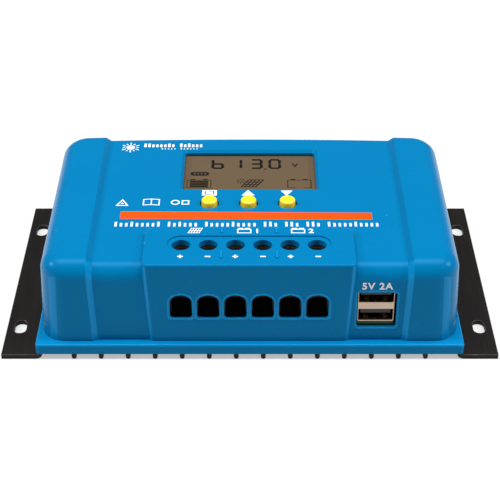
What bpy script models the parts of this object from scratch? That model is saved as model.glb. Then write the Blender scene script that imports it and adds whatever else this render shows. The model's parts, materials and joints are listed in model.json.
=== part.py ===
"""Solar charge controller: a moulded cover on a finned heatsink plate, with a display, three buttons, a
six-pole terminal block, a double USB socket and the parts inside. Works in millimetres and writes metres.

Frame: origin at the centre of the underside, +X along the length, -Y the wiring side, +Z up.
"""
import math

import bmesh
import bpy
from mathutils import Vector

MM = 0.001
GAP = 0.3  # clearance kept between pieces that rest on each other
SIDES = 24  # sides of a round hole or pin
OVERRUN = 1.0  # how far a cutter runs past the face it cuts

# Overall size
LENGTH, DEPTH, HEIGHT = 184.0, 101.0, 40.0

# Heatsink: an extrusion along Y with plain flanges and short fins underneath
FLANGE_THICKNESS = 2.0
PLATE_TOP = 4.5
PLATE_HALF_X, PLATE_HALF_Y = 77.6, 48.3
FLANGE_UNDERCUT = (76.8, 79.6)  # where the flange's underside starts to curve up, and where it ends
FIN_PITCH, FIN_COUNT, FIN_THICKNESS = 10.0, 14, 1.8
SLOT_WIDTH, SLOT_LENGTH, SLOT_X, SLOT_Y = 4.6, 7.9, 87.0, 33.3

# Cover
SKIRT_HALF_X, SKIRT_HALF_Y, SKIRT_TOP, SKIRT_EDGE = 79.2, 50.5, 6.5, 0.9
SKIRT_BOTTOM = FLANGE_THICKNESS + GAP
BODY_HALF_X, BODY_FRONT, BODY_BACK = 77.3, -48.1, 48.3
SIDE_DRAFT, FRONT_DRAFT, BACK_DRAFT = 1.3, 1.0, 0.2  # inset of each wall over the full height
BODY_CORNER, TOP_ROUND, BACK_ROUND = 9.5, 6.5, 5.3
BACK_BOW = 2.0  # how far the back wall bulges out at its middle
PANEL_TOP, PANEL_BACK_ROUND = 38.0, 3.1
PANEL_STEP_FRONT, PANEL_STEP_TOP = 1.0, HEIGHT - PANEL_TOP
PANEL_FOOT_BOTTOM, PANEL_FOOT_TOP, PANEL_STEP_RUN = 56.0, 57.0, 2.0
CAVITY_HALF_X, CAVITY_FRONT, CAVITY_BACK, CAVITY_TOP = 74.2, -44.7, 44.7, 35.9
CAVITY_ROUND, CAVITY_CORNER = 4.3, 6.5
WING_CAVITY_X, WING_CAVITY_Y, WING_CAVITY_TOP = (60.5, 71.0), 33.0, 37.8
BOSS_RADIUS, BOSS_X, BOSS_Y, BOSS_BORE_TOP, BOSS_TOP = 3.4, 70.0, 38.5, 14.0, HEIGHT - 3.0
SMALLEST_CORNER = 1.4

# Terminal bump on the cover, and the terminal block behind it
BUMP_HALF_X, BUMP_FRONT, BUMP_BACK, BUMP_EDGE, BUMP_BACK_CORNER = 38.0, -48.0, -22.0, 0.9, 4.0
BUMP_DRAFT = 0.8
BUMP_CAVITY_TOP, BUMP_WALL = 37.1, 2.4
POLES, POLE_PITCH, POLE_CENTRE, POLE_Y = 6, 9.95, -0.25, -33.3
POLE_X = [POLE_CENTRE + POLE_PITCH * (i - (POLES - 1) / 2) for i in range(POLES)]
ENTRY_WIDTH, ENTRY_BOTTOM, ENTRY_TOP, ENTRY_CORNER, ENTRY_CHAMFER = 8.1, 17.0, 26.7, 1.3, 0.4
ENTRY_ARCH = 0.85  # height of the arched top over its half width
WELL_RADIUS, WELL_CHAMFER = 3.35, 0.4
RECESS_RADIUS, RECESS_HALF, RECESS_DEPTH = 5.2, 24.9, 0.5
DIVIDER_X, DIVIDER_WIDTH, DIVIDER_HEIGHT = (-10.35, 9.85), 0.9, 0.4
DIVIDER_Y = ((-26.6, -22.9), (-42.9, -38.3))

# Display window, buttons and USB window in the cover
WINDOW_HALF_X, WINDOW_Y, WINDOW_CHAMFER, WINDOW_CORNER = 26.2, (8.3, 37.2), 1.0, 1.2
BUTTON_NAMES = ("menu", "up", "down")
BUTTON_X, BUTTON_Y, BUTTON_RADIUS, BUTTON_HOLE = (-15.5, -0.5, 14.45), -2.45, 3.25, 3.65
CAP_BOTTOM, CAP_TOP, CAP_FLANGE, CAP_DRAFT, CAP_EDGE, CAP_CROWN = 34.3, HEIGHT, 0.9, 0.25, 0.8, 0.06
CAP_SOCKET_RADIUS, CAP_SOCKET_DEPTH = 2.0, 2.5
SWITCH_Z, SWITCH_WIDTH, SWITCH_FLOOR, SWITCH_BORE = (29.5, 32.8), 6.0, 1.0, 2.1
PLUNGER_RADIUS, PLUNGER_BOTTOM, PLUNGER_TOP = 1.7, SWITCH_Z[0] + 2.3, CAP_BOTTOM + 2.2
USB_X, USB_Z, USB_WINDOW_CORNER, USB_CHAMFER = (39.15, 53.5), (12.2, 27.1), 1.1, 0.6

# Boards and what stands on them
PCB_TOP, PCB_THICKNESS, PCB_HALF_X, PCB_Y = 13.5, 1.6, 64.0, (-44.2, 24.0)
PCB_BOTTOM = PCB_TOP - PCB_THICKNESS
PCB_PARTS = PCB_TOP + GAP
SUPPORTS = [(-58.0, -38.0), (58.0, -38.0), (-58.0, 18.0), (58.0, 18.0)]
SUPPORT_RADIUS, SUPPORT_NECK, SUPPORT_LATCH, SUPPORT_TIP, SUPPORT_RISE = 3.2, 1.3, 2.4, 1.2, 2.6
HEADER_HALF_X, HEADER_Y, HEADER_DEPTH, HEADER_PIN = 10.0, -9.6, 3.2, 0.8
LEAD_PITCH, LEAD_Y, LEAD_WIDTH, LEAD_THICKNESS, LEAD_STICKS_OUT = 2.54, 22.3, 0.8, 0.6, 1.2
CHIP_AT, CHIP_SIZE = (4.0, 2.0), (10.0, 10.0, 1.6)
CAPACITOR_X, CAPACITOR_Y, CAPACITOR_RADIUS, CAPACITOR_HEIGHT = -50.0, (-14.0, 2.0), 6.3, 20.0
CAPACITOR_EDGE = 0.6
INDUCTOR_AT, INDUCTOR_RADIUS, INDUCTOR_HEIGHT = (50.0, -14.0), 7.0, 10.0
INDUCTOR_WAIST, INDUCTOR_FLANGE = 5.2, 2.0

# Display
DISPLAY_TOP, DISPLAY_HALF_X, DISPLAY_Y = 29.2, 36.0, (-12.0, 43.0)
DISPLAY_BOTTOM = DISPLAY_TOP - PCB_THICKNESS
DISPLAY_SCREWS, DISPLAY_HOLE, DISPLAY_BOSS_RADIUS = [(-33.2, -8.0), (33.2, -8.0)], 1.5, 2.8
DISPLAY_SCREW_LENGTH, DISPLAY_SCREW_HEAD = 7.0, (2.3, 1.5)
GLASS_HALF_X, GLASS_Y, GLASS_Z = 29.0, (5.6, 40.4), (33.0, 35.6)
FRAME_HALF_X, FRAME_Y, FRAME_Z, FRAME_RIM, FRAME_WELL = 31.0, (3.8, 41.8), (29.5, 32.7), 3.0, 1.2

# Terminal block
BLOCK_HALF_X, BLOCK_Y, BLOCK_TOP, BLOCK_ROOM = 31.2, (-45.0, -27.2), 36.6, 3.0
CELL_HALF_X, CELL_Y, CELL_Z, FUNNEL_RISE = 3.6, (-36.9, -28.6), (16.7, 33.1), 0.5
CAGE_HALF_X, CAGE_WALL, CAGE_DEPTH, CAGE_Z, CAGE_INNER_Z = 3.3, 0.8, 6.0, (17.0, 27.5), (18.0, 25.7)
CONTACT_HALF_X, CONTACT_Y, CONTACT_Z, CONTACT_LEG = 2.2, (-38.0, -28.9), (24.4, 25.4), 0.7
HEAD_RADIUS, HEAD_Z, HEAD_EDGE, HEAD_BORE, HEAD_SLOT = 2.9, (33.2, 35.6), 0.3, 3.2, (0.9, 2.2)
SHANK_RADIUS, SCREW_TIP, TIP_CHAMFER = 1.85, 25.7, (0.3, 0.4)

# USB socket
SHELL_X, SHELL_Y, SHELL_Z, SHELL_ROOM = (39.3, 52.9), (-45.6, -32.0), (13.8, 28.3), 0.9
PORT_HALF_X, PORT_HEIGHT, PORT_Z, PORT_BACK = 6.35, 5.0, (14.4, 22.5), -35.3
TONGUE_THICKNESS, TONGUE_FRONT, TONGUE_SIDE, TONGUE_UNDER_TOP = 1.9, -44.2, 0.5, 0.8

# Power stage
TRANSISTOR_X, TRANSISTOR_SIZE, TRANSISTOR_FRONT = (-42.0, -14.0, 14.0, 42.0), (10.0, 15.0, 4.2), 26.5
PAD_THICKNESS, PAD_FRONT_EDGE, PAD_BACK_EDGE = 0.4, 1.0, 0.8
BAR_HALF_X, BAR_Y, BAR_THICKNESS, BAR_SCREW_X = 52.0, (31.0, 37.0), 2.0, 28.0
BAR_MIDDLE = sum(BAR_Y) / 2

# M3 screws: radii of hole and shank, length under the head, and the head's radius and height
SCREW_HOLE, SCREW_SHANK, SCREW_LENGTH = 1.7, 1.35, 10.0
PAN_HEAD, FLAT_HEAD = (2.75, 1.8), (2.75, 1.5)
CROSS_DEPTH, CROSS_SPAN, CROSS_WIDTH = 0.45, 1.24, 0.3  # of the head's height, and twice of its radius

COLOURS = {
    "blue_abs": ((0.002, 0.262, 0.584), 0.42, 0.0),
    "black_anodised": ((0.018, 0.016, 0.015), 0.55, 0.6),
    "yellow_cap": ((1.0, 0.72, 0.02), 0.35, 0.0),
    "lcd_glass": ((0.2, 0.15, 0.09), 0.12, 0.0),
    "white_frame": ((0.75, 0.75, 0.72), 0.5, 0.0),
    "green_board": ((0.01, 0.13, 0.04), 0.45, 0.0),
    "black_plastic": ((0.012, 0.012, 0.013), 0.5, 0.0),
    "nickel": ((0.5, 0.44, 0.36), 0.3, 1.0),
    "steel": ((0.45, 0.45, 0.46), 0.35, 1.0),
    "copper_alloy": ((0.62, 0.42, 0.2), 0.35, 1.0),
    "grey_pad": ((0.35, 0.36, 0.37), 0.9, 0.0),
    "nylon": ((0.8, 0.79, 0.74), 0.5, 0.0),
}


def clear_scene():
    for existing in list(bpy.data.objects):
        bpy.data.objects.remove(existing, do_unlink=True)


def material(name):
    """The named Principled material, made once."""
    if name in bpy.data.materials:
        return bpy.data.materials[name]
    colour, roughness, metallic = COLOURS[name]
    made = bpy.data.materials.new(name)
    made.use_nodes = True
    shader = made.node_tree.nodes["Principled BSDF"]
    shader.inputs["Base Color"].default_value = (*colour, 1.0)
    shader.inputs["Roughness"].default_value = roughness
    shader.inputs["Metallic"].default_value = metallic
    made.diffuse_color = (*colour, 1.0)
    return made


def make_object(name, mesh_builder, material_name=None, at=(0.0, 0.0, 0.0), parent=None):
    """An object from a bmesh in millimetres, placed at a point in millimetres."""
    bmesh.ops.recalc_face_normals(mesh_builder, faces=mesh_builder.faces)
    bmesh.ops.scale(mesh_builder, vec=(MM, MM, MM), verts=mesh_builder.verts)
    mesh = bpy.data.meshes.new(name)
    mesh_builder.to_mesh(mesh)
    mesh_builder.free()
    made = bpy.data.objects.new(name, mesh)
    bpy.context.scene.collection.objects.link(made)
    made.location = Vector(at) * MM
    if parent:
        made.parent = parent
    if material_name:
        mesh.materials.append(material(material_name))
        mesh.shade_smooth()
        mesh.set_sharp_from_angle(angle=math.radians(30))
    return made


def pivot(name, at):
    """An empty on a moving piece's axis."""
    made = bpy.data.objects.new(name, None)
    bpy.context.scene.collection.objects.link(made)
    made.location = Vector(at) * MM
    return made


def helper(name, mesh_builder):
    """A cutter or a joined-on shape, which is not a piece of its own."""
    made = make_object(name, mesh_builder)
    made.hide_render = True
    made.display_type = "WIRE"
    return made


def boolean(target, other, operation):
    modifier = target.modifiers.new(other.name, "BOOLEAN")
    modifier.operation = operation
    modifier.object = other
    modifier.solver = "EXACT"


def cut(target, name, mesh_builder):
    boolean(target, helper(name, mesh_builder), "DIFFERENCE")


def join(target, name, mesh_builder):
    boolean(target, helper(name, mesh_builder), "UNION")


def arc(centre, radius, start, end, steps):
    """Points on an arc, angles in degrees, both ends included."""
    angles = [math.radians(start + (end - start) * i / steps) for i in range(steps + 1)]
    return [(centre[0] + radius * math.cos(a), centre[1] + radius * math.sin(a)) for a in angles]


def loft(rows):
    """A closed solid through rows of equally many 3-D points, capped at both ends."""
    made = bmesh.new()
    rings = [[made.verts.new(point) for point in row] for row in rows]
    count = len(rings[0])
    for lower, upper in zip(rings, rings[1:]):
        for i in range(count):
            made.faces.new((lower[i], lower[(i + 1) % count], upper[(i + 1) % count], upper[i]))
    made.faces.new(rings[0][::-1])
    made.faces.new(rings[-1])
    return made


def prism(outline, low, high, axis="Z"):
    """An outline pushed along an axis. Its points are (X, Y), (X, Z) or (Y, Z) for Z, Y or X."""
    place = {
        "Z": lambda u, v, w: (u, v, w),
        "Y": lambda u, v, w: (u, w, v),
        "X": lambda u, v, w: (w, u, v),
    }[axis]
    return loft([[place(u, v, w) for u, v in outline] for w in (low, high)])


def box(x, y, z):
    return prism([(x[0], y[0]), (x[1], y[0]), (x[1], y[1]), (x[0], y[1])], z[0], z[1])


def centred_box(centre, size):
    return box(*[(c - s / 2, c + s / 2) for c, s in zip(centre, size)])


def merged(builders):
    """Several separate bmeshes in one, for a cutter made of shapes that don't touch."""
    made = bmesh.new()
    for builder in builders:
        scratch = bpy.data.meshes.new("scratch")
        builder.to_mesh(scratch)
        builder.free()
        made.from_mesh(scratch)
        bpy.data.meshes.remove(scratch)
    return made


def turned(profile, at=(0.0, 0.0), sides=SIDES):
    """A solid turned about a vertical axis from (radius, z) points that start and end on the axis."""
    made = bmesh.new()
    rings = []
    for radius, z in profile:
        if radius == 0:
            rings.append([made.verts.new((at[0], at[1], z))])
            continue
        ring = arc(at, radius, 0, 360, sides)[:-1]
        rings.append([made.verts.new((x, y, z)) for x, y in ring])
    for lower, upper in zip(rings, rings[1:]):
        for i in range(sides):
            j = (i + 1) % sides
            below = [lower[i % len(lower)], lower[j % len(lower)]]
            above = [upper[j % len(upper)], upper[i % len(upper)]]
            made.faces.new(list(dict.fromkeys(below + above)))
    return made


def cylinder(radius, low, high, at=(0.0, 0.0), sides=SIDES):
    return turned([(0, low), (radius, low), (radius, high), (0, high)], at, sides)


def rounded_rectangle(x, y, corners, steps=4, bow=0.0, bow_steps=1):
    """An outline running anticlockwise from its front left corner. corners holds the radius of the front
    pair and of the back pair. The back edge can bulge out by bow, as a parabola."""
    front, back = corners
    middle, half = (x[0] + x[1]) / 2, (x[1] - x[0]) / 2
    points = arc((x[0] + front, y[0] + front), front, 180, 270, steps)
    points += arc((x[1] - front, y[0] + front), front, 270, 360, steps)
    points += arc((x[1] - back, y[1] - back), back, 0, 90, steps)
    right, left = x[1] - back, x[0] + back
    points += [(right + (left - right) * i / bow_steps, y[1]) for i in range(1, bow_steps)]
    points += arc((left, y[1] - back), back, 90, 180, steps)

    def bowed(px, py):
        share = max(0.0, (py - middle_y) / (y[1] - middle_y))
        return (px, py + bow * share * (1 - ((px - middle) / half) ** 2))

    middle_y = (y[0] + y[1]) / 2
    return [bowed(px, py) for px, py in points]


def slot_outline(width, length, at):
    """An obround along Y."""
    radius, reach = width / 2, (length - width) / 2
    return (arc((at[0], at[1] + reach), radius, 0, 180, 8)
            + arc((at[0], at[1] - reach), radius, 180, 360, 8))


def round_inset(z, top, radius):
    """How far a wall has moved in at height z, where it rounds over to a flat top."""
    rise = z - (top - radius)
    return 0.0 if rise <= 0 else radius - math.sqrt(max(0.0, radius ** 2 - rise ** 2))


# ------------------------------------------------------------------ heatsink

def heatsink_section():
    """The extrusion's outline in X and Z, with its flanges and fins."""
    inner, outer = FLANGE_UNDERCUT
    curve = [(outer - (outer - inner) * math.sin(math.radians(a)),
              FLANGE_THICKNESS * (1 - math.cos(math.radians(a)))) for a in range(0, 91, 18)]
    left = [(-LENGTH / 2, FLANGE_THICKNESS), (-LENGTH / 2, 0.0)] + [(-x, z) for x, z in curve]
    fins = []
    tip = FIN_THICKNESS / 2
    for i in range(FIN_COUNT):
        x = FIN_PITCH * (i - (FIN_COUNT - 1) / 2)
        fins += [(x - tip, FLANGE_THICKNESS), *arc((x, tip), tip, 180, 360, 6), (x + tip, FLANGE_THICKNESS)]
    right = [(-x, z) for x, z in reversed(left)]
    plate = [(PLATE_HALF_X, FLANGE_THICKNESS), (PLATE_HALF_X, PLATE_TOP),
             (-PLATE_HALF_X, PLATE_TOP), (-PLATE_HALF_X, FLANGE_THICKNESS)]
    return left + fins + right + plate


def corners_of(x, y):
    """The four points at plus and minus x and y."""
    return [(side * x, end * y) for side in (-1, 1) for end in (-1, 1)]


def build_heatsink():
    sink = make_object("heatsink", prism(heatsink_section(), -DEPTH / 2, DEPTH / 2, "Y"), "black_anodised")
    cut(sink, "heatsink_end_rebates", merged(
        box((-PLATE_HALF_X - OVERRUN, PLATE_HALF_X + OVERRUN), y, (FLANGE_THICKNESS, PLATE_TOP + OVERRUN))
        for y in ((-DEPTH, -PLATE_HALF_Y), (PLATE_HALF_Y, DEPTH))))
    slots = [prism(slot_outline(SLOT_WIDTH, SLOT_LENGTH, at), -OVERRUN, FLANGE_THICKNESS + OVERRUN)
             for at in corners_of(SLOT_X, SLOT_Y)]
    screws = [cylinder(SCREW_HOLE, -OVERRUN, PLATE_TOP + OVERRUN, at)
              for at in corners_of(BOSS_X, BOSS_Y) + [(-BAR_SCREW_X, BAR_MIDDLE), (BAR_SCREW_X, BAR_MIDDLE)]]
    cut(sink, "heatsink_holes", merged(slots + screws))


# ------------------------------------------------------------------ cover

def body_rows():
    """Level outlines of the cover's body as it would be without its lower middle panel."""
    heights = [SKIRT_TOP - OVERRUN, HEIGHT - TOP_ROUND]
    heights += [HEIGHT - TOP_ROUND * (1 - math.sin(math.radians(a))) for a in range(15, 91, 15)]
    rows = []
    for z in heights:
        share = (z - SKIRT_TOP) / (HEIGHT - SKIRT_TOP)
        top_inset, back_inset = round_inset(z, HEIGHT, TOP_ROUND), round_inset(z, HEIGHT, BACK_ROUND)
        half = BODY_HALF_X - SIDE_DRAFT * share - top_inset
        front = BODY_FRONT + FRONT_DRAFT * share + top_inset
        back = BODY_BACK - BACK_DRAFT * share - back_inset
        corner = max(BODY_CORNER - top_inset, SMALLEST_CORNER)
        outline = rounded_rectangle((-half, half), (front, back), (corner, corner), 5, BACK_BOW, 12)
        rows.append([(x, y, z) for x, y in outline])
    return rows


def panel_curve(x, outward):
    """The middle panel's line over the cover at one x, front to back, or the same moved outward by that
    many steps of the wings above it."""
    front_radius = TOP_ROUND + outward * PANEL_STEP_FRONT
    back_radius = PANEL_BACK_ROUND + outward * PANEL_STEP_FRONT
    top = PANEL_TOP + outward * PANEL_STEP_TOP
    front = BODY_FRONT + PANEL_STEP_FRONT * (1 - outward)
    bow = BACK_BOW * (1 - (x / BODY_HALF_X) ** 2)
    back = BODY_BACK + bow - PANEL_STEP_FRONT * (1 - outward)
    leaning = front + FRONT_DRAFT
    points = [(front, SKIRT_TOP)]
    points += arc((leaning + front_radius, top - front_radius), front_radius, 180, 90, 6)
    points += arc((back - BACK_DRAFT - back_radius, top - back_radius), back_radius, 90, 0, 4)
    points += [(back, SKIRT_TOP)]
    return points


def channel():
    """What the middle panel leaves out of the body: the space over it, between the two wings."""
    stations = 12
    made = bmesh.new()
    surfaces = []
    for outward in (0, 2):
        rows = []
        for i in range(stations + 1):
            share = 2 * i / stations - 1
            probe = panel_curve(share * PANEL_FOOT_TOP, outward)
            row = []
            for j, (y, z) in enumerate(probe):
                low = j in (0, len(probe) - 1)
                foot = (PANEL_FOOT_BOTTOM if low else PANEL_FOOT_TOP) + outward * PANEL_STEP_RUN
                row.append(made.verts.new((share * foot, y, z)))
            rows.append(row)
        surfaces.append(rows)
    inner, outer = surfaces
    count = len(inner[0])
    for rows in surfaces:
        for first, second in zip(rows, rows[1:]):
            for j in range(count - 1):
                made.faces.new((first[j], first[j + 1], second[j + 1], second[j]))
    for end in (0, stations):
        for j in range(count - 1):
            made.faces.new((inner[end][j], inner[end][j + 1], outer[end][j + 1], outer[end][j]))
    for i in range(stations):
        for j in (0, count - 1):
            made.faces.new((inner[i][j], inner[i + 1][j], outer[i + 1][j], outer[i][j]))
    return made


def skirt():
    rows = []
    for z, inset in ((SKIRT_BOTTOM, 0.0), (SKIRT_TOP - SKIRT_EDGE, 0.0),
                     (SKIRT_TOP - 0.3 * SKIRT_EDGE, 0.3 * SKIRT_EDGE), (SKIRT_TOP, SKIRT_EDGE)):
        half_x, half_y = SKIRT_HALF_X - inset, SKIRT_HALF_Y - inset
        outline = rounded_rectangle((-half_x, half_x), (-half_y, half_y), (SMALLEST_CORNER,) * 2, 3)
        rows.append([(x, y, z) for x, y in outline])
    return loft(rows)


def bump():
    rows = []
    for z, inset in ((SKIRT_TOP - OVERRUN, 0.0), (HEIGHT - BUMP_EDGE, 0.0),
                     (HEIGHT - 0.3 * BUMP_EDGE, 0.3 * BUMP_EDGE), (HEIGHT, BUMP_EDGE)):
        share = (z - SKIRT_TOP) / (HEIGHT - SKIRT_TOP)
        half = BUMP_HALF_X - inset
        x = (POLE_CENTRE - half, POLE_CENTRE + half)
        y = (BUMP_FRONT + BUMP_DRAFT * share + inset, BUMP_BACK - inset)
        outline = rounded_rectangle(x, y, (SMALLEST_CORNER, BUMP_BACK_CORNER), 4)
        rows.append([(px, py, z) for px, py in outline])
    return loft(rows)


def entry_outline(x, grow=0.0):
    """A wire entry in X and Z: an arched top, and a flat foot with small round corners."""
    half, low, high = ENTRY_WIDTH / 2 + grow, ENTRY_BOTTOM - grow, ENTRY_TOP + grow
    shoulder = high - half * ENTRY_ARCH
    arch = [(x + half * math.cos(math.radians(a)), shoulder + (high - shoulder) * math.sin(math.radians(a)))
            for a in range(0, 181, 20)]
    foot = arc((x - half + ENTRY_CORNER, low + ENTRY_CORNER), ENTRY_CORNER, 180, 270, 2)
    foot += arc((x + half - ENTRY_CORNER, low + ENTRY_CORNER), ENTRY_CORNER, 270, 360, 2)
    return arch + foot


def flared(outline, wide, mouth, chamfer, far, outwards, axis):
    """A cutter whose mouth at the surface is chamfered. It also runs straight out past the surface."""
    rows = [(wide, mouth + outwards * OVERRUN), (wide, mouth), (outline, mouth - outwards * chamfer),
            (outline, far)]
    return loft([[(u, w, v) if axis == "Y" else (u, v, w) for u, v in points] for points, w in rows])


def display_window():
    low, high = WINDOW_Y
    x = (-WINDOW_HALF_X, WINDOW_HALF_X)
    grown = (-WINDOW_HALF_X - WINDOW_CHAMFER, WINDOW_HALF_X + WINDOW_CHAMFER)
    corners, grown_corners = (WINDOW_CORNER,) * 2, (WINDOW_CORNER + WINDOW_CHAMFER / 2,) * 2
    return flared(rounded_rectangle(x, (low, high), corners, 3),
                  rounded_rectangle(grown, (low - WINDOW_CHAMFER, high + WINDOW_CHAMFER), grown_corners, 3),
                  PANEL_TOP, WINDOW_CHAMFER * 0.8, CAVITY_TOP - OVERRUN, 1, "Z")


def usb_window():
    grown = [(low - USB_CHAMFER, high + USB_CHAMFER) for low, high in (USB_X, USB_Z)]
    corner, grown_corner = (USB_WINDOW_CORNER,) * 2, (USB_WINDOW_CORNER + USB_CHAMFER / 2,) * 2
    lean = FRONT_DRAFT * (sum(USB_Z) / 2 - SKIRT_TOP) / (HEIGHT - SKIRT_TOP)
    return flared(rounded_rectangle(USB_X, USB_Z, corner, 3), rounded_rectangle(*grown, grown_corner, 3),
                  BODY_FRONT + PANEL_STEP_FRONT + lean, USB_CHAMFER, CAVITY_FRONT + OVERRUN, -1, "Y")


def wire_entries():
    lean = BUMP_DRAFT * (ENTRY_BOTTOM - SKIRT_TOP) / (HEIGHT - SKIRT_TOP)
    return merged(flared(entry_outline(x), entry_outline(x, ENTRY_CHAMFER), BUMP_FRONT + lean, ENTRY_CHAMFER,
                         BUMP_FRONT + BUMP_WALL + OVERRUN, -1, "Y") for x in POLE_X)


def screw_wells():
    """The holes over the terminal screws, with the top in a shallow obround recess."""
    top = HEIGHT - RECESS_DEPTH
    return merged(turned([(0, BUMP_CAVITY_TOP - OVERRUN), (WELL_RADIUS, BUMP_CAVITY_TOP - OVERRUN),
                          (WELL_RADIUS, top - WELL_CHAMFER), (WELL_RADIUS + WELL_CHAMFER, top),
                          (WELL_RADIUS + WELL_CHAMFER, top + RECESS_DEPTH / 2), (0, top + RECESS_DEPTH / 2)],
                         (x, POLE_Y)) for x in POLE_X)


def recess():
    outline = (arc((POLE_CENTRE + RECESS_HALF, POLE_Y), RECESS_RADIUS, -90, 90, 8)
               + arc((POLE_CENTRE - RECESS_HALF, POLE_Y), RECESS_RADIUS, 90, 270, 8))
    return prism(outline, HEIGHT - RECESS_DEPTH, HEIGHT + OVERRUN)


def cavity():
    """The room inside the cover, with its top edges rounded to follow the outside."""
    rows = []
    rounding = [CAVITY_TOP - CAVITY_ROUND * (1 - math.sin(math.radians(a))) for a in (0, 30, 60, 90)]
    for z in (0.0, *rounding):
        inset = round_inset(z, CAVITY_TOP, CAVITY_ROUND)
        corner = max(CAVITY_CORNER - inset, SMALLEST_CORNER)
        outline = rounded_rectangle((-CAVITY_HALF_X + inset, CAVITY_HALF_X - inset),
                                    (CAVITY_FRONT + inset, CAVITY_BACK - inset), (corner, corner), 3)
        rows.append([(x, y, z) for x, y in outline])
    return loft(rows)


def dividers():
    """The short raised lines between the poles' signs."""
    half = DIVIDER_WIDTH / 2
    return merged(box((x - half, x + half), y, (HEIGHT - OVERRUN, HEIGHT + DIVIDER_HEIGHT))
                  for x in DIVIDER_X for y in DIVIDER_Y)


def build_cover():
    cover = make_object("top_cover", loft(body_rows()), "blue_abs")
    cut(cover, "panel_channel", channel())
    join(cover, "skirt", skirt())
    join(cover, "terminal_bump", bump())
    join(cover, "dividers", dividers())
    rim_x, rim_y = PLATE_HALF_X + GAP, PLATE_HALF_Y + GAP
    cut(cover, "cover_rim_rebate", box((-rim_x, rim_x), (-rim_y, rim_y), (0.0, PLATE_TOP + GAP)))
    cut(cover, "cover_cavity", cavity())
    near, far = WING_CAVITY_X
    cut(cover, "wing_cavities", merged(
        box(x, (-WING_CAVITY_Y, WING_CAVITY_Y), (BOSS_BORE_TOP, WING_CAVITY_TOP))
        for x in ((-far, -near), (near, far))))
    room = BLOCK_HALF_X + BLOCK_ROOM
    cut(cover, "bump_cavity", box(
        (POLE_CENTRE - room, POLE_CENTRE + room), (BUMP_FRONT + BUMP_WALL, BUMP_BACK - BUMP_WALL),
        (PLATE_TOP, BUMP_CAVITY_TOP)))
    for i, at in enumerate(corners_of(BOSS_X, BOSS_Y)):
        join(cover, f"screw_boss_{i + 1}", cylinder(BOSS_RADIUS, PLATE_TOP + 2 * GAP, BOSS_TOP, at))
    for i, at in enumerate(DISPLAY_SCREWS):
        join(cover, f"display_boss_{i + 1}",
             cylinder(DISPLAY_BOSS_RADIUS, DISPLAY_TOP + GAP, CAVITY_TOP + OVERRUN, at))
    cut(cover, "display_window", display_window())
    cut(cover, "usb_pocket", box(
        (SHELL_X[0] - GAP, SHELL_X[1] + SHELL_ROOM), (SHELL_Y[0] - GAP, CAVITY_FRONT + OVERRUN),
        (PCB_BOTTOM - GAP, SHELL_Z[1] + GAP)))
    cut(cover, "usb_window", usb_window())
    cut(cover, "button_holes", merged(
        cylinder(BUTTON_HOLE, CAVITY_TOP - OVERRUN, PANEL_TOP + OVERRUN, (x, BUTTON_Y)) for x in BUTTON_X))
    cut(cover, "wire_entries", wire_entries())
    cut(cover, "screw_recess", recess())
    cut(cover, "screw_wells", screw_wells())
    bores = [cylinder(SCREW_HOLE, 0.0, BOSS_BORE_TOP, at) for at in corners_of(BOSS_X, BOSS_Y)]
    bores += [cylinder(DISPLAY_HOLE, DISPLAY_BOTTOM, CAVITY_TOP - GAP, at, 16) for at in DISPLAY_SCREWS]
    cut(cover, "boss_bores", merged(bores))


# ------------------------------------------------------------------ display and buttons

def build_display():
    make_object("lcd_glass", box((-GLASS_HALF_X, GLASS_HALF_X), GLASS_Y, GLASS_Z), "lcd_glass")
    frame = make_object("lcd_frame", box((-FRAME_HALF_X, FRAME_HALF_X), FRAME_Y, FRAME_Z), "white_frame")
    cut(frame, "lcd_frame_well", box((-FRAME_HALF_X + FRAME_RIM, FRAME_HALF_X - FRAME_RIM),
                                     (FRAME_Y[0] + FRAME_RIM, FRAME_Y[1] - FRAME_RIM),
                                     (FRAME_Z[1] - FRAME_WELL, FRAME_Z[1] + OVERRUN)))
    board = make_object("display_pcb", box((-DISPLAY_HALF_X, DISPLAY_HALF_X), DISPLAY_Y,
                                           (DISPLAY_BOTTOM, DISPLAY_TOP)), "green_board")
    through = (DISPLAY_BOTTOM - OVERRUN, DISPLAY_TOP + OVERRUN)
    cut(board, "display_pcb_holes", merged(cylinder(DISPLAY_HOLE, *through, at, 16) for at in DISPLAY_SCREWS))
    cut(board, "header_slot", header_slot(through))
    for i, at in enumerate(DISPLAY_SCREWS):
        build_screw(f"display_screw_{i + 1}", at, DISPLAY_BOTTOM - GAP, DISPLAY_SCREW_LENGTH,
                    DISPLAY_SCREW_HEAD, DISPLAY_HOLE - GAP, up=True)


def header_slot(through):
    """The slot in a board for the header's row of pins."""
    half = HEADER_PIN / 2 + GAP
    return box((-HEADER_HALF_X - GAP, HEADER_HALF_X + GAP), (HEADER_Y - half, HEADER_Y + half), through)


def build_button(name, x):
    """A cap on the plunger of a tact switch. Both move on an empty on the line of travel."""
    at = (x, BUTTON_Y)
    switch = make_object(f"{name}_switch", centred_box((*at, sum(SWITCH_Z) / 2), (
        SWITCH_WIDTH, SWITCH_WIDTH, SWITCH_Z[1] - SWITCH_Z[0])), "black_plastic")
    cut(switch, f"{name}_switch_bore",
        cylinder(SWITCH_BORE, SWITCH_Z[0] + SWITCH_FLOOR, SWITCH_Z[1] + OVERRUN, at, 16))
    travel = pivot(f"{name}_travel", (*at, 0.0))
    make_object(f"{name}_plunger", cylinder(PLUNGER_RADIUS, PLUNGER_BOTTOM, PLUNGER_TOP, sides=16),
                "black_plastic", parent=travel)
    cap = make_object(f"{name}_cap", turned(cap_profile()), "yellow_cap", parent=travel)
    cut(cap, f"{name}_cap_socket",
        cylinder(CAP_SOCKET_RADIUS, CAP_BOTTOM - OVERRUN, CAP_BOTTOM + CAP_SOCKET_DEPTH, at, 16))


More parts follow.
